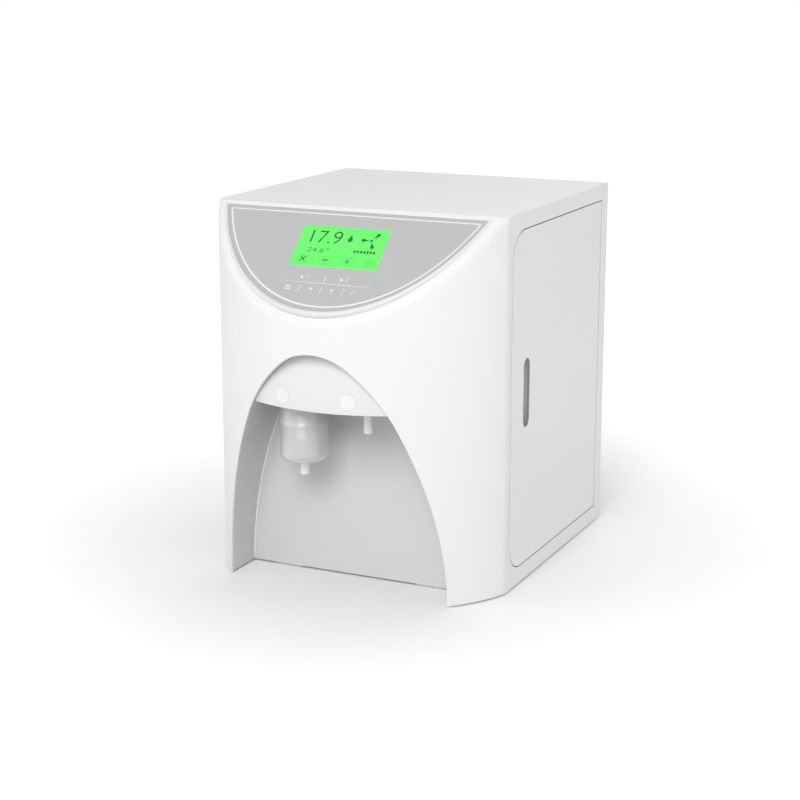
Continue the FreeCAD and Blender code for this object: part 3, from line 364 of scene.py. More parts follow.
bowY = lowest.y + shell["bowRadius"]
cornerX = highest.x - shell["cornerRadius"]
cornerY = bowY - math.sqrt((shell["bowRadius"] - shell["cornerRadius"]) ** 2 - cornerX ** 2)
cornerTurn = math.degrees(math.atan2(bowY - cornerY, cornerX))
seamY = cornerY + shell["sideLand"]
slopeY = lowest.y + shell["slopeReach"]
recessY = lowest.y + shell["recessDepth"]
topZ = highest.z
slopeTurn = math.radians(shell["slopeAngle"])
slopeUp = Vector((0, math.sin(slopeTurn), math.cos(slopeTurn)))
slopeOut = Vector((0, -math.cos(slopeTurn), math.sin(slopeTurn)))
slopeTop = Vector((0, slopeY, topZ))


def planPlace(angle):
    # (point, outward direction) of the front's plan for a direction in degrees from +X
    out = Vector((math.cos(math.radians(angle)), math.sin(math.radians(angle)), 0))
    if angle > -cornerTurn:
        return Vector((cornerX, cornerY, 0)) + out * shell["cornerRadius"], out
    if angle < cornerTurn - 180:
        return Vector((-cornerX, cornerY, 0)) + out * shell["cornerRadius"], out
    return Vector((0, bowY, 0)) + out * shell["bowRadius"], out


def archHalf(inset=0.0, steps=14):
    # the right half of the arch as (x, z), from its foot to its top
    sideRadius = shell["sideRadius"]
    haunchRadius = shell["haunchRadius"]
    crownRadius = shell["crownRadius"]
    side = Vector((shell["archHalfWidth"] - sideRadius, 0))
    sideTurn = math.radians(shell["sideAngle"])
    haunch = side + Vector((math.cos(sideTurn), math.sin(sideTurn))) * (sideRadius - haunchRadius)
    rise = math.sqrt((haunchRadius - crownRadius) ** 2 - haunch.x ** 2)
    crown = Vector((0, haunch.y + rise))
    haunchEnd = math.degrees(math.atan2(rise, -haunch.x))
    foot = math.degrees(math.asin(shell["groundGap"] / (sideRadius - inset)))
    points = arcPoints(side, sideRadius - inset, foot, shell["sideAngle"], steps)
    points += arcPoints(haunch, haunchRadius - inset, shell["sideAngle"], haunchEnd, steps)[1:]
    return points + arcPoints(crown, crownRadius - inset, haunchEnd, 90, steps)[1:]


def shellColumns():
    # (point, outward direction, lowest z) from the left seam round the front to the right seam,
    # and how many of them stand over half the arch
    ground = shell["groundGap"]
    legs = shell["legColumns"]
    corners = shell["cornerColumns"]
    arch = archHalf()
    footAngle = -math.degrees(math.acos(arch[0][0] / shell["bowRadius"]))
    right = []
    for x, z in reversed(arch):
        right.append((*planPlace(-math.degrees(math.acos(x / shell["bowRadius"]))), z))
    for i in range(1, legs + 1):
        right.append((*planPlace(footAngle + (-cornerTurn - footAngle) * i / legs), ground))
    for i in range(1, corners + 1):
        right.append((*planPlace(-cornerTurn * (1 - i / corners)), ground))
    side = Vector((highest.x, seamY, 0))
    right.append((side, Vector((1, 0, 0)), ground))
    flip = Vector((-1, 1, 1))
    left = [(p * flip, d * flip, z) for p, d, z in right[1:]]
    return left[::-1] + right, len(arch)


def borderDrop(x):
    # how far the border round the console lies under its face
    return shell["borderDrop"] * max(0.0, math.cos(math.pi / 2 * x / shell["borderHalf"]))


def wallBack(x, gap=0.0):
    # back of the bowed wall at a distance from the middle
    return bowY - math.sqrt((shell["bowRadius"] - shell["wall"] - gap) ** 2 - x ** 2)


console = {
    "rimRadius": 182.2, "rimMargin": 3.9, "rimGap": 0.12, "openingTop": 5.88, "leastBorder": 0.1,
    "filmRadius": 180.0, "filmMargin": 9.0, "topDrop": 6.0,
}


def dShape(radius, margin, grow, count):
    # console outline in slope coordinates (x, up the slope) from its top left corner round to its top right
    major = (radius + grow) / math.sin(slopeTurn)
    centre = (lowest.y + margin + radius - slopeY) / math.sin(slopeTurn)
    reach = math.acos((centre + console["topDrop"] - grow) / major)
    points = []
    for i in range(count):
        t = reach * (2 * i / (count - 1) - 1)
        points.append(((radius + grow) * math.sin(t), centre - major * math.cos(t)))
    return points


def wallSkin(columns):
    # the wall and its rounded upper edge over the columns, and where that edge meets the slope
    rows = shell["wallRows"]
    bend = shell["roundRows"]
    radius = shell["slopeRound"]
    points = []
    contacts = []
    for place, out, low in columns:
        centre = place - out * radius
        rise = (-radius - borderDrop(centre.x) - slopeOut.y * (centre.y - slopeTop.y)) / slopeOut.z
        centre.z = topZ + rise
        for j in range(rows):
            points.append((place.x, place.y, low + (centre.z - low) * j / rows))
        span = out.angle(slopeOut)
        for k in range(bend + 1):
            turn = span * k / bend
            way = (out * math.sin(span - turn) + slopeOut * math.sin(turn)) / math.sin(span)
            points.append(tuple(centre + way * radius))
        contacts.append(centre + slopeOut * radius)
    perColumn = rows + bend + 1
    faces = []
    for i in range(len(columns) - 1):
        for j in range(perColumn - 1):
            a = i * perColumn + j
            faces.append((a, a + perColumn, a + perColumn + 1, a + 1))
    return points, faces, contacts


def addSlopeFace(points, faces, contacts, perColumn):
    # the slope's face round the console's opening
    def drop(p):
        return (p - slopeTop).dot(slopeUp)

    count = len(contacts)
    opening = console["openingTop"]
    first = next(i for i, p in enumerate(contacts) if drop(p) < -opening)
    last = count - 1 - first
    ring = dShape(console["rimRadius"], console["rimMargin"], console["rimGap"], last - first + 1)
    lengths = [0.0]
    for i in range(first, last):
        lengths.append(lengths[-1] + (contacts[i + 1] - contacts[i]).length)
    start = len(points)
    for i in range(first, last + 1):
        share = lengths[i - first] / lengths[-1] * (len(ring) - 1)
        k = min(int(share), len(ring) - 2)
        f = share - k
        x = ring[k][0] * (1 - f) + ring[k + 1][0] * f
        up = ring[k][1] * (1 - f) + ring[k + 1][1] * f
        up = max(up, drop(contacts[i]) + console["leastBorder"])
        points.append(tuple(slopeTop + Vector((x, 0, 0)) + slopeUp * up - slopeOut * borderDrop(x)))
    rimRow = perColumn - 1
    for i in range(first, last):
        a = i * perColumn + rimRow
        b = start + i - first
        faces.append((a, a + perColumn, b + 1, b))
    for i in range(first - 1):
        a = i * perColumn + rimRow
        b = (count - 1 - i) * perColumn + rimRow
        faces.append((a, a + perColumn, b - perColumn, b))
    a = (first - 1) * perColumn + rimRow
    b = (last + 1) * perColumn + rimRow
    faces.append((a, a + perColumn, start, start + last - first, last * perColumn + rimRow, b))


def addArchReturn(points, faces, columns, archCount, perColumn):
    # the arch's edge carried back through the wall; gives the points along its front
    rear = len(points)
    middle = len(columns) // 2
    archFirst = middle - (archCount - 1)
    archLast = middle + (archCount - 1)
    for i in range(archFirst, archLast + 1):
        place, out, low = columns[i]
        points.append((place.x, wallBack(place.x), low))
    for i in range(archFirst, archLast):
        a = i * perColumn
        b = rear + i - archFirst
        faces.append((a, b, b + 1, a + perColumn))
    return [points[i * perColumn] for i in range(archFirst, archLast + 1)]


def frontShellMesh():
    columns, archCount = shellColumns()
    perColumn = shell["wallRows"] + shell["roundRows"] + 1
    points, faces, contacts = wallSkin(columns)
    addSlopeFace(points, faces, contacts, perColumn)
    rim = addArchReturn(points, faces, columns, archCount, perColumn)
    return meshOf("frontShell", points, faces), rim


def closeTop(mesh):
    # cuts the over-tall shell level with the cabinet's top and closes it there
    shape = bmesh.new()
    shape.from_mesh(mesh)
    level = topZ * mm
    geometry = shape.verts[:] + shape.edges[:] + shape.faces[:]
    bmesh.ops.bisect_plane(shape, geom=geometry, plane_co=(0, 0, level), plane_no=(0, 0, 1),
                           clear_outer=True)
    cut = [v for v in shape.verts if abs(v.co.z - level) < hair]
    left = sorted((v for v in cut if v.co.x < 0), key=lambda v: -v.co.y)
    right = sorted((v for v in cut if v.co.x > 0), key=lambda v: v.co.y)
    shape.faces.new(left + right)
    shape.normal_update()
    shape.to_mesh(mesh)
    shape.free()


def markEdges(mesh, path):
    # full bevel weight on the edges along a path of points
    known = kdtree.KDTree(len(path))
    for i, point in enumerate(path):
        known.insert(Vector(point) * mm, i)
    known.balance()
    weights = mesh.attributes.new("bevel_weight_edge", "FLOAT", "EDGE")
    onPath = [known.find(v.co)[2] < 10 * hair for v in mesh.vertices]
    for edge in mesh.edges:
        if onPath[edge.vertices[0]] and onPath[edge.vertices[1]]:
            weights.data[edge.index].value = 1.0


def makeFrontShell():
    mesh, rim = frontShellMesh()
    closeTop(mesh)
    piece = addPiece("frontShell", mesh, mouldedFront)
    thicken(piece, shell["wall"])
    markEdges(piece.data, rim)
    archEdge = piece.modifiers.new("archEdge", "BEVEL")
    archEdge.width = shell["archRound"] * mm
    archEdge.segments = shell["archRoundSteps"]
    archEdge.limit_method = "WEIGHT"
    archEdge.use_clamp_overlap = True
    roundEdges(piece, shell["edgeRound"], 2, 38)
    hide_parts("front_shell")


lining = {"gap": 0.1, "round": 0.35}


def makeLining():
    # arched tunnel behind the front's edge, open at the ground
    inner = archHalf()
    outer = archHalf(-shell["wall"])
    half = list(zip(inner, outer))
    rings = []
    for (x, z), (outX, outZ) in half + [((-a, b), (-c, d)) for (a, b), (c, d) in half[-2::-1]]:
        rings.append([(x, wallBack(x, lining["gap"]), z), (x, recessY, z),
                      (outX, recessY, outZ), (outX, wallBack(outX, lining["gap"]), outZ)])
    mesh = loftMesh("recessLining", rings)
    piece = addPiece("recessLining", mesh, mouldedLining)
    roundEdges(piece, lining["round"], 2, 50)
    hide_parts("recess_liner")


makeFrontShell()
makeLining()
print("front shell ready")


hood = {
    "inset": 6.0, "lip": 221.0, "rake": 16.0, "wall": 2.5, "gap": 0.3, "round": 0.7,
    "rows": 26, "columns": 44, "archSteps": 60,
}


def archWidthAt(z, outline):
    # half width of the arch at a height
    for (x0, z0), (x1, z1) in zip(outline, outline[1:]):
        if z0 <= z <= z1:
            return x0 + (x1 - x0) * (z - z0) / (z1 - z0)
    return 0.0


def makeHood():
    outline = archHalf(hood["gap"], hood["archSteps"])
    top = outline[-1][1]
    rise = top + hood["gap"] - hood["lip"]
    curve = (rise ** 2 + hood["rake"] ** 2) / (2 * hood["rake"])
    points = []
    faces = []
    for j in range(hood["rows"] + 1):
        z = hood["lip"] + (top - hood["lip"]) * math.sin(math.pi / 2 * j / hood["rows"])
        radius = shell["bowRadius"] - hood["inset"] - curve + math.sqrt(curve ** 2 - (z - hood["lip"]) ** 2)
        half = math.asin(min(1.0, archWidthAt(z, outline) / radius))
        for i in range(hood["columns"] + 1):
            angle = half * (2 * i / hood["columns"] - 1)
            points.append((radius * math.sin(angle), bowY - radius * math.cos(angle), z))
    wide = hood["columns"] + 1
    for j in range(hood["rows"]):
        for i in range(hood["columns"]):
            a = j * wide + i
            faces.append((a, a + 1, a + wide + 1, a + wide))
    mesh = meshOf("dispenseHood", points, faces)
    tidyMesh(mesh, False)
    piece = addPiece("dispenseHood", mesh, mouldedTrim)
    thicken(piece, hood["wall"])
    roundEdges(piece, hood["round"], 3, 50)
    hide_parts("dispense_hood")


recessBead = {"radius": 1.0, "inset": 0.2, "sides": 8, "steps": 20}


def makeRecessBead():
    # rounded bead that seals the tunnel against the recess's back wall; its white, lighter than the walls
    # round it, is a painted highlight along that edge
    half = archHalf(recessBead["inset"], recessBead["steps"])
    path = half + [(-x, z) for x, z in reversed(half[:-1])]
    rings = []
    for i, (x, z) in enumerate(path):
        along = (Vector(path[min(i + 1, len(path) - 1)]) - Vector(path[max(i - 1, 0)])).normalized()
        ring = []
        for side, deep in arcPoints((0, 0), recessBead["radius"], 0, 360, recessBead["sides"])[:-1]:
            ring.append((x - along.y * side, recessY + deep, z + along.x * side))
        rings.append(ring)
    mesh = loftMesh("recessBead", rings)
    addPiece("recessBead", mesh, whiteBead)


# sections as (distance outside the door's edge, depth under the side's face, flare of the lip)
doorSeal = {
    "corner": 34.0, "end": 0.3, "frontDepth": 1.4, "round": 0.05, "bendSteps": 14, "spare": 1.0,
    "section": [(1.12, 2.9, 0), (1.12, 0.6, 0), (1.12, 0.17, 0.38), (0.05, 0.17, -0.3), (0.05, 0.6, 0),
                (0.05, 2.9, 0)],
    "rearSection": [(0.9, 2.9), (1.15, 2.9), (1.15, 0.6), (1.5, 0.17), (0.95, 0.17), (0.9, 0.6)],
}


def makeDoorGapShadeSeal():
    # dark lip round the side door, whose black is painted shade in the door's gap; at the rear, where the
    # door's edge swings in, it sits on the cover
    low, high = nodeSpan("side_door")
    front, rear, bottom, top = low.y, high.y, low.z, high.z
    bend = doorSeal["corner"]
    steps = doorSeal["bendSteps"]
    end = rear + doorSeal["end"]

    def path(grow):
        points = [(end, bottom - grow)]
        points += arcPoints((front + bend, bottom + bend), bend + grow, 270, 180, steps)
        points += arcPoints((front + bend, top - bend), bend + grow, 180, 90, steps)
        return points + [(end, top + grow)]

    lines = []
    for grow, depth, flare in doorSeal["section"]:
        line = []
        for (y, z), (flaredY, flaredZ) in zip(path(grow), path(grow + flare)):
            # the lip lies deeper along the door's front edge
            share = min(1.0, max(0.0, (front + bend - y) / bend))
            sink = doorSeal["frontDepth"] * share if depth < 1 else 0.0
            line.append((highest.x - depth - sink, y * share + flaredY * (1 - share),
                         z * share + flaredZ * (1 - share)))
        lines.append(line)
    seal = loftMesh("doorSeal", list(zip(*lines)))
    strip = []
    for z in (bottom - doorSeal["spare"], top + doorSeal["spare"]):
        strip.append([(highest.x - depth, rear + grow, z) for grow, depth in doorSeal["rearSection"]])
    rearSeal = loftMesh("rearSeal", strip)
    roundEdges(addPiece("doorSeal", seal, darkRubber, "door"), doorSeal["round"], 2, 40)
    roundEdges(addPiece("rearSeal", rearSeal, darkRubber), doorSeal["round"], 2, 40)


# section as (distance inside the slot's edge, depth under the side's face)
slotCollar = {
    "back": 46.5, "rise": 7.0, "half": 9.5, "tall": 40.0, "endSteps": 16,
    "section": [(0.02, 2.95), (0.02, 0.5), (0.3, 0.35), (0.7, 0.5), (0.7, 2.95)],
}


def makeSlotCollar():
    # grey collar of the hand cup inside the door's slot; its dark grey is painted shade along the slot's edge
    low, high = nodeSpan("side_door")
    middleY = low.y + slotCollar["back"]
    middleZ = (low.z + high.z) / 2 + slotCollar["rise"]
    reach = slotCollar["tall"] - slotCollar["half"]
    points = []
    faces = []
    for inset, depth in slotCollar["section"]:
        radius = slotCollar["half"] - inset
        ring = arcPoints((middleY, middleZ + reach), radius, 0, 180, slotCollar["endSteps"])
        ring += arcPoints((middleY, middleZ - reach), radius, 180, 360, slotCollar["endSteps"])
        points += [(highest.x - depth, y, z) for y, z in ring]
    wide = len(ring)
    rows = len(slotCollar["section"])
    for j in range(rows):
        for i in range(wide):
            a, b = j * wide, (j + 1) % rows * wide
            faces.append((a + i, a + (i + 1) % wide, b + (i + 1) % wide, b + i))
    mesh = meshOf("slotCollar", points, faces)
    tidyMesh(mesh)
    addPiece("slotCollar", mesh, collarGrey, "door")
    mesh.set_sharp_from_angle(angle=math.radians(50))


# section as (distance inside the toe's edge, height)
footPad = {
    "half": 19.0, "back": 14.0, "corner": 4.0, "gap": 0.2, "bendSteps": 6,
    "section": [(0.5, 0.0), (0.0, 0.5), (0.0, 1.4), (0.5, 1.9)],
}


def makeFootPads():
    # square toes of the two front feet, level with the recess's back wall
    feet = nodes["rubber_feet"]
    corners = [feet.matrix_world @ v.co / mm for v in feet.data.vertices]
    front = min(c.y for c in corners)
    toes = [c.x for c in corners if c.y < front + 1]
    middle = (max(toes) + min(x for x in toes if x > 0)) / 2
    bend = footPad["corner"]
    steps = footPad["bendSteps"]
    for side, name in ((-1, "footToeLeft"), (1, "footToeRight")):
        rings = []
        for inset, z in footPad["section"]:
            half = footPad["half"] - inset
            near = recessY + footPad["gap"] + inset
            outline = arcPoints((-half + bend, near + bend), bend, 180, 270, steps)
            outline += arcPoints((half - bend, near + bend), bend, 270, 360, steps)
            outline += [(half, near + footPad["back"]), (-half, near + footPad["back"])]
            rings.append([(side * middle + x, y, z) for x, y in outline])
        mesh = loftMesh(name, rings)
        addPiece(name, mesh, footRubber)
        mesh.set_sharp_from_angle(angle=math.radians(40))


makeHood()
makeRecessBead()
makeDoorGapShadeSeal()
makeSlotCollar()
makeFootPads()
print("recess and door seal ready")


outlets = {
    "x": 40.0, "depth": 60.0, "capsuleRadius": 27.75, "wall": 2.0, "bottom": 150.0, "bottomRound": 9.0,
    "top": 216.0, "topRound": 3.0, "innerChamfer": 2.0,
    "weldZ": 195.0, "weldBulge": 0.7, "weldHeight": 3.2, "weldFoot": 0.5, "weldShoulder": 0.4,
    "neckRadius": 8.0, "neckTop": 232.0, "neckChamfer": 1.0,
    "spoutRadius": 5.4, "spoutBore": 2.5, "spoutEnd": 133.0, "spoutRound": 0.8, "spoutChamfer": 0.6,
    "spoutFillet": 1.5,
    "nozzleRadius": 5.6, "nozzleBore": 3.2, "nozzleEnd": 189.0, "nozzleLip": 0.7,
    "collarRadius": 9.6, "collarBottom": 222.0, "collarTop": 226.0, "collarChamfer": 0.4,
}


def makeCapsule():
    o = outlets
    big = o["capsuleRadius"]
    bend = o["bottomRound"]
    bore = o["spoutBore"]
    chamfer = o["spoutChamfer"]
    tip = o["spoutRound"]
    fillet = o["spoutFillet"]
    profile = [(bore, o["spoutEnd"] + chamfer), (bore + chamfer, o["spoutEnd"])]
    profile += arcPoints((o["spoutRadius"] - tip, o["spoutEnd"] + tip), tip, -90, 0, 4)
    profile += arcPoints((o["spoutRadius"] + fillet, o["bottom"] - fillet), fillet, 180, 90, 5)
    profile += arcPoints((big - bend, o["bottom"] + bend), bend, -90, 0, 12)
    low, high = o["weldZ"] - o["weldHeight"] / 2, o["weldZ"] + o["weldHeight"] / 2
    profile += [(big, low - o["weldFoot"]), (big + o["weldBulge"], low + o["weldShoulder"]),
                (big + o["weldBulge"], high - o["weldShoulder"]), (big, high + o["weldFoot"])]
    profile += arcPoints((big - o["topRound"], o["top"] - o["topRound"]), o["topRound"], 0, 90, 6)
    neck = o["neckRadius"]
    profile += [(neck + o["neckChamfer"], o["top"]), (neck, o["top"] + o["neckChamfer"]),
                (neck, o["neckTop"]), (bore, o["neckTop"])]
    inner, ceiling = big - o["wall"], o["top"] - o["wall"]
    profile += [(bore, ceiling), (inner - o["innerChamfer"], ceiling), (inner, ceiling - o["innerChamfer"])]
    bendIn = bend - o["wall"]
    profile += arcPoints((inner - bendIn, o["bottom"] + bend), bendIn, 0, -90, 8)
    profile += [(bore, o["bottom"] + o["wall"])]
    mesh = turnedMesh("finalFilterCapsule", profile, (-o["x"], lowest.y + o["depth"]), 96)
    piece = addPiece("finalFilterCapsule", mesh, clearCapsule)
    mesh.materials.append(milkyTube)
    for face in mesh.polygons:
        if face.center.z < (o["bottom"] - 1) * mm:
            face.material_index = 1
    mesh.set_sharp_from_angle(angle=math.radians(45))
    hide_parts("final_filter_housing")


def makeNozzle():
    o = outlets
    lip = o["nozzleLip"]
    chamfer = o["collarChamfer"]
    wide = o["collarRadius"]
    low, high = o["collarBottom"], o["collarTop"]
    profile = [(o["nozzleBore"], o["nozzleEnd"] + lip)]
    profile += arcPoints((o["nozzleBore"] + lip, o["nozzleEnd"] + lip), lip, 180, 270, 4)[1:]
    profile += arcPoints((o["nozzleRadius"] - lip, o["nozzleEnd"] + lip), lip, -90, 0, 4)
    profile += [(o["nozzleRadius"], low), (wide - chamfer, low), (wide, low + chamfer)]
    profile += [(wide, high - chamfer), (wide - chamfer, high), (o["nozzleRadius"], high)]
    profile += [(o["nozzleRadius"], o["neckTop"]), (o["nozzleBore"], o["neckTop"])]
    mesh = turnedMesh("plainOutlet", profile, (o["x"], lowest.y + o["depth"]), 64)
    piece = addPiece("plainOutlet", mesh, milkyTube)
    mesh.set_sharp_from_angle(angle=math.radians(45))
    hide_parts("ro_nozzle")


makeCapsule()
makeNozzle()
print("outlets ready")


# crown holds the angles, in radians, of two points on the rounded head
rearScrew = {
    "radius": 3.6, "height": 1.9, "edge": 0.5, "crown": (0.4, 0.8), "bevel": (0.25, 0.15),
    "socket": 1.35, "depth": 1.2, "cone": 0.1, "coneRadius": 0.3, "seat": 0.1, "seatRadius": 0.4,
    "inset": 8.0, "segments": 24, "heights": (28.0, 216.0, 402.0),
}


def makeRearScrews():
    # button-head screws with a hexagon socket that hold the rear panel
    panelEnd = nodeSpan("rear_panel")[1]
    face = panelEnd.y
    wide = panelEnd.x - rearScrew["inset"]
    top, edge, radius = rearScrew["height"], rearScrew["edge"], rearScrew["radius"]
    bottom = top - rearScrew["depth"]
    seat = rearScrew["seat"]
    bevelWide, bevelDeep = rearScrew["bevel"]
    crown = [(radius * math.cos(t), edge + (top - edge) * math.sin(t)) for t in rearScrew["crown"]]
    sixth = math.pi / 3
    heights = rearScrew["heights"]
    places = [(side * wide, z) for side in (-1, 1) for z in heights]
    places += [(0.0, heights[0]), (0.0, heights[-1])]
    for index, (x, z) in enumerate(places):
        slices = []
        for i in range(rearScrew["segments"]):
            angle = 2 * math.pi * i / rearScrew["segments"]
            flat = rearScrew["socket"] / math.cos((angle + sixth / 2) % sixth - sixth / 2)
            profile = [(rearScrew["seatRadius"], seat), (radius, seat), (radius, edge)] + crown
            profile += [(flat + bevelWide, top), (flat, top - bevelDeep), (flat, bottom)]
            profile += [(rearScrew["coneRadius"], bottom - rearScrew["cone"])]
            slices.append([(x + reach * math.cos(angle), face + lift, z + reach * math.sin(angle))
                           for reach, lift in profile])
        mesh = loftMesh(f"rearScrew{index}", list(zip(*slices)))
        addPiece(f"rearScrew{index}", mesh, brushedSteel)
        mesh.set_sharp_from_angle(angle=math.radians(40))


makeRearScrews()
print("rear screws ready")


def onSlope(mesh):
    turn = Matrix((Vector((1, 0, 0)), slopeUp, slopeOut)).transposed().to_4x4()
    mesh.transform(Matrix.Translation(slopeTop * mm) @ turn)
    return mesh


def flatShape(name, outlines, low, high):
    # thin plates on the console face from outlines in slope coordinates (x, drop down the slope)
    shape = bmesh.new()
    for outline in outlines:
        corners = [shape.verts.new((x * mm, -drop * mm, low * mm)) for x, drop in outline]
        shape.faces.new(corners)
    bmesh.ops.remove_doubles(shape, verts=shape.verts, dist=hair)
    made = bmesh.ops.extrude_face_region(shape, geom=shape.faces[:])
    lifted = [v for v in made["geom"] if isinstance(v, bmesh.types.BMVert)]
    bmesh.ops.translate(shape, verts=lifted, vec=(0, 0, (high - low) * mm))
    bmesh.ops.recalc_face_normals(shape, faces=shape.faces)
    mesh = bpy.data.meshes.new(name)
    shape.to_mesh(mesh)
    shape.free()
    return onSlope(mesh)


def bar(x, drop, wide, tall):
    return [(x - wide / 2, drop - tall / 2), (x + wide / 2, drop - tall / 2),
            (x + wide / 2, drop + tall / 2), (x - wide / 2, drop + tall / 2)]


def stroke(x0, drop0, x1, drop1, wide):
    along = Vector((x1 - x0, drop1 - drop0)).normalized()
    side = Vector((-along.y, along.x)) * wide / 2
    return [(x0 - side.x, drop0 - side.y), (x1 - side.x, drop1 - side.y),
            (x1 + side.x, drop1 + side.y), (x0 + side.x, drop0 + side.y)]


def ringStrips(outer, inner):
    count = len(outer)
    return [[outer[i], outer[(i + 1) % count], inner[(i + 1) % count], inner[i]] for i in range(count)]


def circle(x, drop, radius, steps=24):
    return [(x + px, drop + py) for px, py in arcPoints((0, 0), radius, 0, 360, steps)[:-1]]


def frameStrips(x, drop, wide, tall, line):
    return ringStrips(bar(x, drop, wide, tall), bar(x, drop, wide - 2 * line, tall - 2 * line))


def dropShape(x, drop, radius, tip, angle):
    # a drop with its point at a distance from its round end, pointing in a direction in degrees
    turn = math.radians(angle)
    points = arcPoints((0, 0), radius, 50, 310, 18) + [(tip, 0)]
    return [(x + px * math.cos(turn) - py * math.sin(turn), drop + px * math.sin(turn) + py * math.cos(turn))
            for px, py in points]


# levels of the marks over the console's face, and how much thinner the digits are drawn
printed = {"low": -0.2, "high": -0.15, "digitThinning": 0.006}


def numberMesh(name, text, left, top, right, bottom):
    # plain digits fitted to a box in slope coordinates
    curve = bpy.data.curves.new(name, "FONT")
    curve.body = text
    curve.offset = -printed["digitThinning"]
    curve.extrude = 0.5  # any depth will do, because the levels are set below
    source = bpy.data.objects.new(name + "Source", curve)
    scene.collection.objects.link(source)
    graph = bpy.context.evaluated_depsgraph_get()
    mesh = bpy.data.meshes.new_from_object(source.evaluated_get(graph))
    bpy.data.objects.remove(source)
    spots = [v.co for v in mesh.vertices]
    x0, x1 = min(p.x for p in spots), max(p.x for p in spots)
    y0, y1 = min(p.y for p in spots), max(p.y for p in spots)
    for v in mesh.vertices:
        x = left + (v.co.x - x0) / (x1 - x0) * (right - left)
        y = -bottom + (v.co.y - y0) / (y1 - y0) * (bottom - top)
        v.co = Vector((x, y, printed["low"] if v.co.z < 0 else printed["high"])) * mm
    tidyMesh(mesh)
    return onSlope(mesh)


def addPrint(name, outlines, material, body="cabinet", lift=0.0):
    # marks printed on the console from outlines in slope coordinates
    mesh = flatShape(name, outlines, printed["low"], printed["high"] + lift)
    addPiece(name, mesh, material, body)


consoleBead = {
    "rise": 2.8, "base": 0.6, "shoulder": 1.0, "outer": 0.15, "inner": 0.5, "endShare": 0.3,
    "count": 97, "rows": 10,
}


def makeConsoleBead():
    # rounded crest on the console's rim, flattening out toward its corners
    count = consoleBead["count"]
    outer = dShape(console["rimRadius"], console["rimMargin"], -consoleBead["outer"], count)
    inner = dShape(console["filmRadius"], console["filmMargin"], consoleBead["inner"], count)
    rings = []
    for i, ((x0, up0), (x1, up1)) in enumerate(zip(outer, inner)):
        share = (i + consoleBead["endShare"]) / (count - 1 + 2 * consoleBead["endShare"])
        rise = consoleBead["rise"] * math.sin(math.pi * share) ** 0.5
        ring = [(x1, up1, consoleBead["base"]), (x0, up0, consoleBead["base"])]
        # half a circle over the rim, whose width counts as 1
        for along, lift in arcPoints((0.5, 0), 0.5, 180, 0, consoleBead["rows"]):
            level = consoleBead["shoulder"] + 2 * lift * rise
            ring.append((x0 + (x1 - x0) * along, up0 + (up1 - up0) * along, level))
        rings.append([slopeTop + Vector((x, 0, 0)) + slopeUp * up + slopeOut * level
                      for x, up, level in ring])
    mesh = loftMesh("consoleBead", rings)
    addPiece("consoleBead", mesh, mouldedTrim)
    mesh.set_sharp_from_angle(angle=math.radians(50))


filmMarks = {
    "lineInset": 4.0, "lineWidth": 1.6, "lineCount": 96, "rule": (-55.5, 105.3, 53.6, 105.3, 0.6),
    "slashes": [(-2.2, 93.2, 103.0), (-28.4, 108.4, 118.6), (-2.4, 108.4, 118.8), (23.8, 108.8, 118.8)],
    "slashWidth": 0.75,
}


def makeFilmMarks():
    inset = filmMarks["lineInset"]
    edges = []
    for grow in (-inset, -inset - filmMarks["lineWidth"]):
        edge = dShape(console["filmRadius"], console["filmMargin"], grow, filmMarks["lineCount"])
        edges.append([(x, -up) for x, up in edge])
    addPrint("filmLine", ringStrips(*edges), whitePrint)
    shapes = [stroke(*filmMarks["rule"])]
    shapes += [stroke(x, a, x, b, filmMarks["slashWidth"]) for x, a, b in filmMarks["slashes"]]
    addPrint("filmRules", shapes, whitePrint)


# places as (x, drop down the slope); the upper keys carry a drop and a digit of the given width
keyMarks = {
    "upper": [("1", -26.5, 0.8), ("2", 21.5, 2.4)],
    "dropAside": -4.2, "drop": (98.6, 1.7, 3.9, -90),
    "digitAside": 2.4, "digitTop": 95.2, "digitBottom": 100.3,
    "tiles": (-42.8, 113.4), "tilePitch": (1.8, 1.9), "tileSize": (2.5, 2.7),
    "forward": [(-15.4, 110.9), (-11.6, 113.1), (-15.4, 115.3)], "forwardBar": (-13.6, 117.6, 3.4, 0.5),
    "upward": [(10.9, 110.8), (13.2, 114.6), (8.6, 114.6)], "upwardBar": (10.9, 117.6, 3.4, 0.5),
    "tick": [(33.4, 113.2, 35.7, 115.8, 0.8), (35.4, 115.8, 39.2, 111.4, 0.8)],
}


def makeKeyMarks():
    def put(key, shapes):
        addPrint(key.replace("_", "") + "Mark", shapes, whitePrint, key)

    k = keyMarks
    for digit, x, wide in k["upper"]:
        put(f"upper_key_{digit}", [dropShape(x + k["dropAside"], *k["drop"])])
        middle = x + k["digitAside"]
        mesh = numberMesh(f"upperDigit{digit}", digit, middle - wide / 2, k["digitTop"],
                          middle + wide / 2, k["digitBottom"])
        addPiece(f"upperKeyDigit{digit}", mesh, whitePrint, f"upper_key_{digit}")
    x, drop = k["tiles"]
    across, down = k["tilePitch"]
    corners = [(x + a, drop + b) for a in (-across, across) for b in (-down, down)]
    put("lower_key_1", [bar(*corner, *k["tileSize"]) for corner in corners])
    put("lower_key_2", [k["forward"], bar(*k["forwardBar"])])
    put("lower_key_3", [k["upward"], bar(*k["upwardBar"])])
    put("lower_key_4", [stroke(*line) for line in k["tick"]])


keySeam = {"near": 0.01, "far": 0.14, "low": -0.6, "high": -0.215, "reach": -0.75}


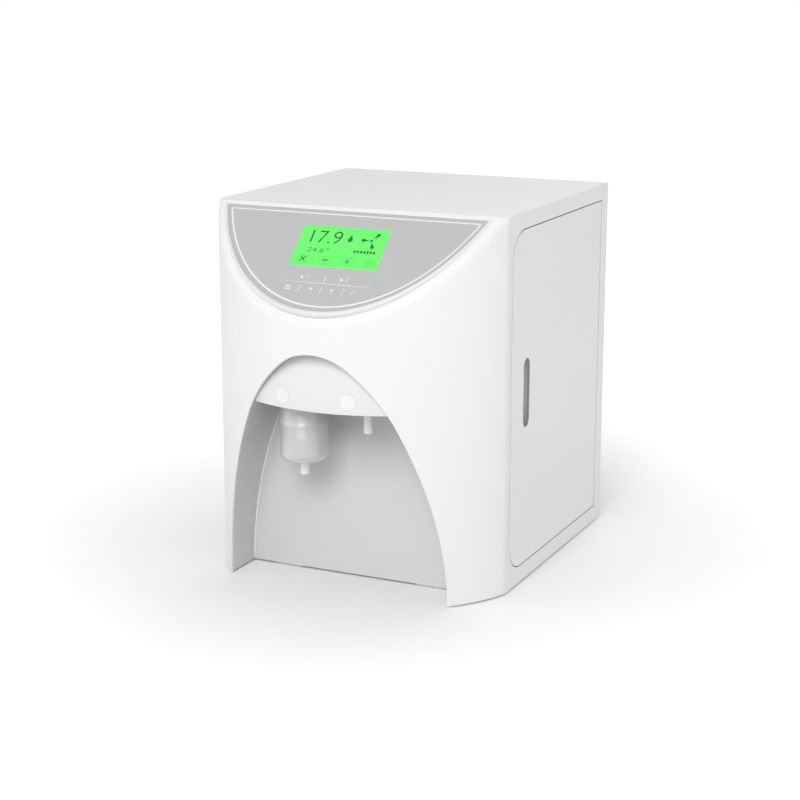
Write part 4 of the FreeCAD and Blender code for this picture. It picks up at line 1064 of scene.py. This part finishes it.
def makeKeySeams():
    # the film's thin web that bridges the gap round each key
    near, far = 2 * keySeam["near"], 2 * keySeam["far"]
    keys = [(name, node) for name, node in nodes.items() if "_key_" in name]
    for name, node in keys:
        spots = [node.matrix_world @ v.co / mm - slopeTop for v in node.data.vertices]
        spots = [p for p in spots if p.dot(slopeOut) > keySeam["reach"]]
        left, right = min(p.x for p in spots), max(p.x for p in spots)
        drops = [-p.dot(slopeUp) for p in spots]
        place = ((left + right) / 2, (min(drops) + max(drops)) / 2)
        wide, tall = right - left, max(drops) - min(drops)
        ring = ringStrips(bar(*place, wide + far, tall + far), bar(*place, wide + near, tall + near))
        mesh = flatShape(name + "Seam", ring, keySeam["low"], keySeam["high"])
        addPiece(name.replace("_", "") + "Seam", mesh, overlayPrint)


# numbers as (text, left, top, right, bottom); icons as (x, drop, sizes)
displayMarks = {
    "numbers": {"readingDigits": ("17.9", -39.5, 34.0, -1.8, 51.0),
                "warmthDigits": ("24.6", -38.2, 57.9, -17.6, 63.9)},
    "hub": (34.4, 43.4, 1.7), "blades": [(40.6, 35.4), (24.6, 43.4), (38.0, 52.2)], "blade": (2.3, 7.0),
    "drop": (8.8, 44.4, 3.0, 7.4, -90),
    "level": (19.5, 59.6), "levelPitch": 3.9, "levelBar": (2.6, 3.4), "levelCount": 7,
    "degree": (-13.6, 59.2), "degreeRadii": (1.3, 0.7),
    "tool": [(-42.2, 76.8, -35.6, 70.6, 1.3), (-42.2, 70.8, -35.8, 76.8, 1.3)], "toolLift": 0.02,
    "frames": (-38.8, -11.5, 15.5, 42.6), "frame": (74.0, 12.0, 9.4, 0.5),
    "block": (-11.5, 74.0, 6.6, 3.6), "dot": (15.5, 74.0, 2.6),
    "rows": (42.6, 71.9), "rowPitch": 2.1, "row": (7.0, 0.7), "rowCount": 3,
}


def makeDisplayMarks():
    d = displayMarks
    for name, number in d["numbers"].items():
        addPiece(name, numberMesh(name, *number), darkInk)
    hubX, hubDrop, hubRadius = d["hub"]
    shapes = [circle(hubX, hubDrop, hubRadius)]
    for x, drop in d["blades"]:
        angle = math.degrees(math.atan2(hubDrop - drop, hubX - x))
        shapes.append(dropShape(x, drop, *d["blade"], angle))
    shapes.append(dropShape(*d["drop"]))
    x, drop = d["level"]
    shapes += [bar(x + d["levelPitch"] * i, drop, *d["levelBar"]) for i in range(d["levelCount"])]
    addPrint("displayIcons", shapes, darkInk)
    outer, inner = [circle(*d["degree"], radius) for radius in d["degreeRadii"]]
    addPrint("degreeRing", ringStrips(outer, inner), darkInk)
    for i, line in enumerate(d["tool"]):
        addPrint(f"serviceBar{i}", [stroke(*line)], darkInk, lift=d["toolLift"] * i)
    shapes = []
    for x in d["frames"]:
        shapes += frameStrips(x, *d["frame"])
    addPrint("statusFrames", shapes, faintInk)
    x, drop = d["rows"]
    shapes = [bar(*d["block"]), circle(*d["dot"])]
    shapes += [bar(x, drop + d["rowPitch"] * i, *d["row"]) for i in range(d["rowCount"])]
    addPrint("statusIcons", shapes, faintInk)


makeConsoleBead()
makeFilmMarks()
makeKeyMarks()
makeKeySeams()
makeDisplayMarks()
print("console print ready")


nodeFinish = {
    "recess_back_panel": mouldedRecess, "outlet_discs": mouldedFront, "console_bezel": mouldedTrim,
    "overlay_film": overlayPrint, "display_window": litWindow, "display_module": blackCase,
    "key_board": solderMask, "tact_switches": blackPlastic, "cabinet_cover": powderCoat,
    "side_door": powderCoat, "door_handle_cup": cupGrey, "door_hinge_brackets": zincSheet,
    "door_hinge_pins": brushedSteel, "door_magnets": blackPlastic, "door_strike_plates": zincSheet,
    "base_plate": zincSheet, "rubber_feet": footRubber, "rear_panel": powderCoat,
    "bulkhead_ports": whiteFitting, "power_inlet": blackPlastic, "fuse_drawer": blackCase,
    "rocker_frame": blackPlastic, "power_rocker": blackCase, "divider_plate": zincSheet,
    "outlet_bracket": zincSheet, "final_filter_core": pleatedCore,
    "polishing_cartridge": cartridgePlastic, "sediment_cartridge": cartridgePlastic,
    "carbon_cartridge": cartridgePlastic, "cartridge_saddles": blackCase,
    "membrane_housing": whiteFitting, "membrane_saddles": blackCase, "conductivity_cell": whiteFitting,
    "pump_head": blackCase, "pump_motor": motorPaint, "pump_cradle": footRubber,
    "inlet_valve": blackPlastic, "tube_elbows": whiteFitting, "water_tubes": tubePlastic,
    "power_supply": foldedAlloy, "control_board": solderMask,
}
usualEdge = 0.35
edgeWidth = {
    "cabinet_cover": 0.6, "side_door": 0.5, "console_bezel": 0.45, "rear_panel": 0.0, "rubber_feet": 1.2,
    "outlet_discs": 0.2, "overlay_film": 0.0, "display_window": 0.0, "recess_back_panel": 0.0,
    "pump_motor": 1.5, "membrane_housing": 1.0, "sediment_cartridge": 1.6, "carbon_cartridge": 1.6,
    "polishing_cartridge": 1.6, "power_inlet": 0.4, "final_filter_core": 0.5,
}


def dressNodes():
    # a node that a finer mesh replaces isn't in the list of finishes and gets plain white
    for name, node in nodes.items():
        isKey = "_key_" in name
        node.data.materials.clear()
        node.data.materials.append(overlayPrint if isKey else nodeFinish.get(name, whiteFitting))
        width = 0.0 if isKey else edgeWidth.get(name, usualEdge)
        if width:
            roundEdges(node, width, 2, 35, weld=True)


dressNodes()
print("nodes dressed")


# in metres; the floor glows more and more from near to far round the machine
stage = {
    "size": 14.0, "white": 0.88, "roughness": 0.9, "ambient": 0.42, "aim": (0, 0, 0.2),
    "near": 0.12, "far": 0.88, "nearGlow": 0.0, "farGlow": 0.64,
}
# place and width in metres, power in watts
lamps = {
    "key": ((0.45, -2.45, 1.8), 1.3, 43.0),
    "side": ((2.6, -0.1, 0.9), 1.8, 11.2),
    "fill": ((-2.2, -1.4, 1.0), 1.8, 9.5),
    "top": ((0.1, 1.9, 2.1), 1.8, 9.0),
}


def seenRays(tree):
    # 1 for rays from the camera and for those that come off gloss or through clear plastic
    ways = tree.nodes.new("ShaderNodeLightPath")
    source = ways.outputs["Is Camera Ray"]
    for name in ("Is Glossy Ray", "Is Transmission Ray"):
        higher = tree.nodes.new("ShaderNodeMath")
        higher.operation = "MAXIMUM"
        tree.links.new(source, higher.inputs[0])
        tree.links.new(ways.outputs[name], higher.inputs[1])
        source = higher.outputs[0]
    return source


def makeFloorWhite():
    # matt white, with a glow that is there for the seen rays alone
    material, tree, shader = newMaterial("floorWhite")
    shader.inputs["Base Color"].default_value = [stage["white"]] * 3 + [1]
    shader.inputs["Roughness"].default_value = stage["roughness"]
    shader.inputs["Specular IOR Level"].default_value = 0.0
    place = tree.nodes.new("ShaderNodeTexCoord")
    away = tree.nodes.new("ShaderNodeVectorMath")
    away.operation = "LENGTH"
    tree.links.new(place.outputs["Object"], away.inputs[0])
    glow = tree.nodes.new("ShaderNodeMapRange")
    spans = {"From Min": "near", "From Max": "far", "To Min": "nearGlow", "To Max": "farGlow"}
    for key, value in spans.items():
        glow.inputs[key].default_value = stage[value]
    tree.links.new(away.outputs["Value"], glow.inputs["Value"])
    amount = tree.nodes.new("ShaderNodeMath")
    amount.operation = "MULTIPLY"
    light = tree.nodes.new("ShaderNodeEmission")
    both = tree.nodes.new("ShaderNodeAddShader")
    tree.links.new(seenRays(tree), amount.inputs[0])
    tree.links.new(glow.outputs["Result"], amount.inputs[1])
    tree.links.new(amount.outputs[0], light.inputs["Strength"])
    tree.links.new(shader.outputs[0], both.inputs[0])
    tree.links.new(light.outputs[0], both.inputs[1])
    tree.links.new(both.outputs[0], tree.nodes["Material Output"].inputs["Surface"])
    return material


def makeFloor():
    half = stage["size"] / 2
    corners = [(-half, -half, 0), (half, -half, 0), (half, half, 0), (-half, half, 0)]
    mesh = bpy.data.meshes.new("floor")
    mesh.from_pydata(corners, [], [(0, 1, 2, 3)])
    mesh.materials.append(makeFloorWhite())
    floor = bpy.data.objects.new("floor", mesh)
    scene.collection.objects.link(floor)


def makeWorld():
    world = bpy.data.worlds.new("studio")
    scene.world = world
    world.use_nodes = True
    tree = world.node_tree
    ground = tree.nodes["Background"]
    ground.inputs["Color"].default_value = (1, 1, 1, 1)
    strength = tree.nodes.new("ShaderNodeMapRange")
    strength.inputs["To Min"].default_value = stage["ambient"]
    strength.inputs["To Max"].default_value = 1.0
    tree.links.new(seenRays(tree), strength.inputs["Value"])
    tree.links.new(strength.outputs["Result"], ground.inputs["Strength"])


def makeLamps():
    for name, (place, size, power) in lamps.items():
        lamp = bpy.data.lights.new(name, "AREA")
        lamp.shape = "SQUARE"
        lamp.size = size
        lamp.energy = power
        light = bpy.data.objects.new(name, lamp)
        light.location = place
        way = Vector(stage["aim"]) - Vector(place)
        light.rotation_euler = way.to_track_quat("-Z", "Y").to_euler()
        scene.collection.objects.link(light)


makeFloor()
makeWorld()
makeLamps()
scene.view_settings.view_transform = "Standard"
print("stage ready")
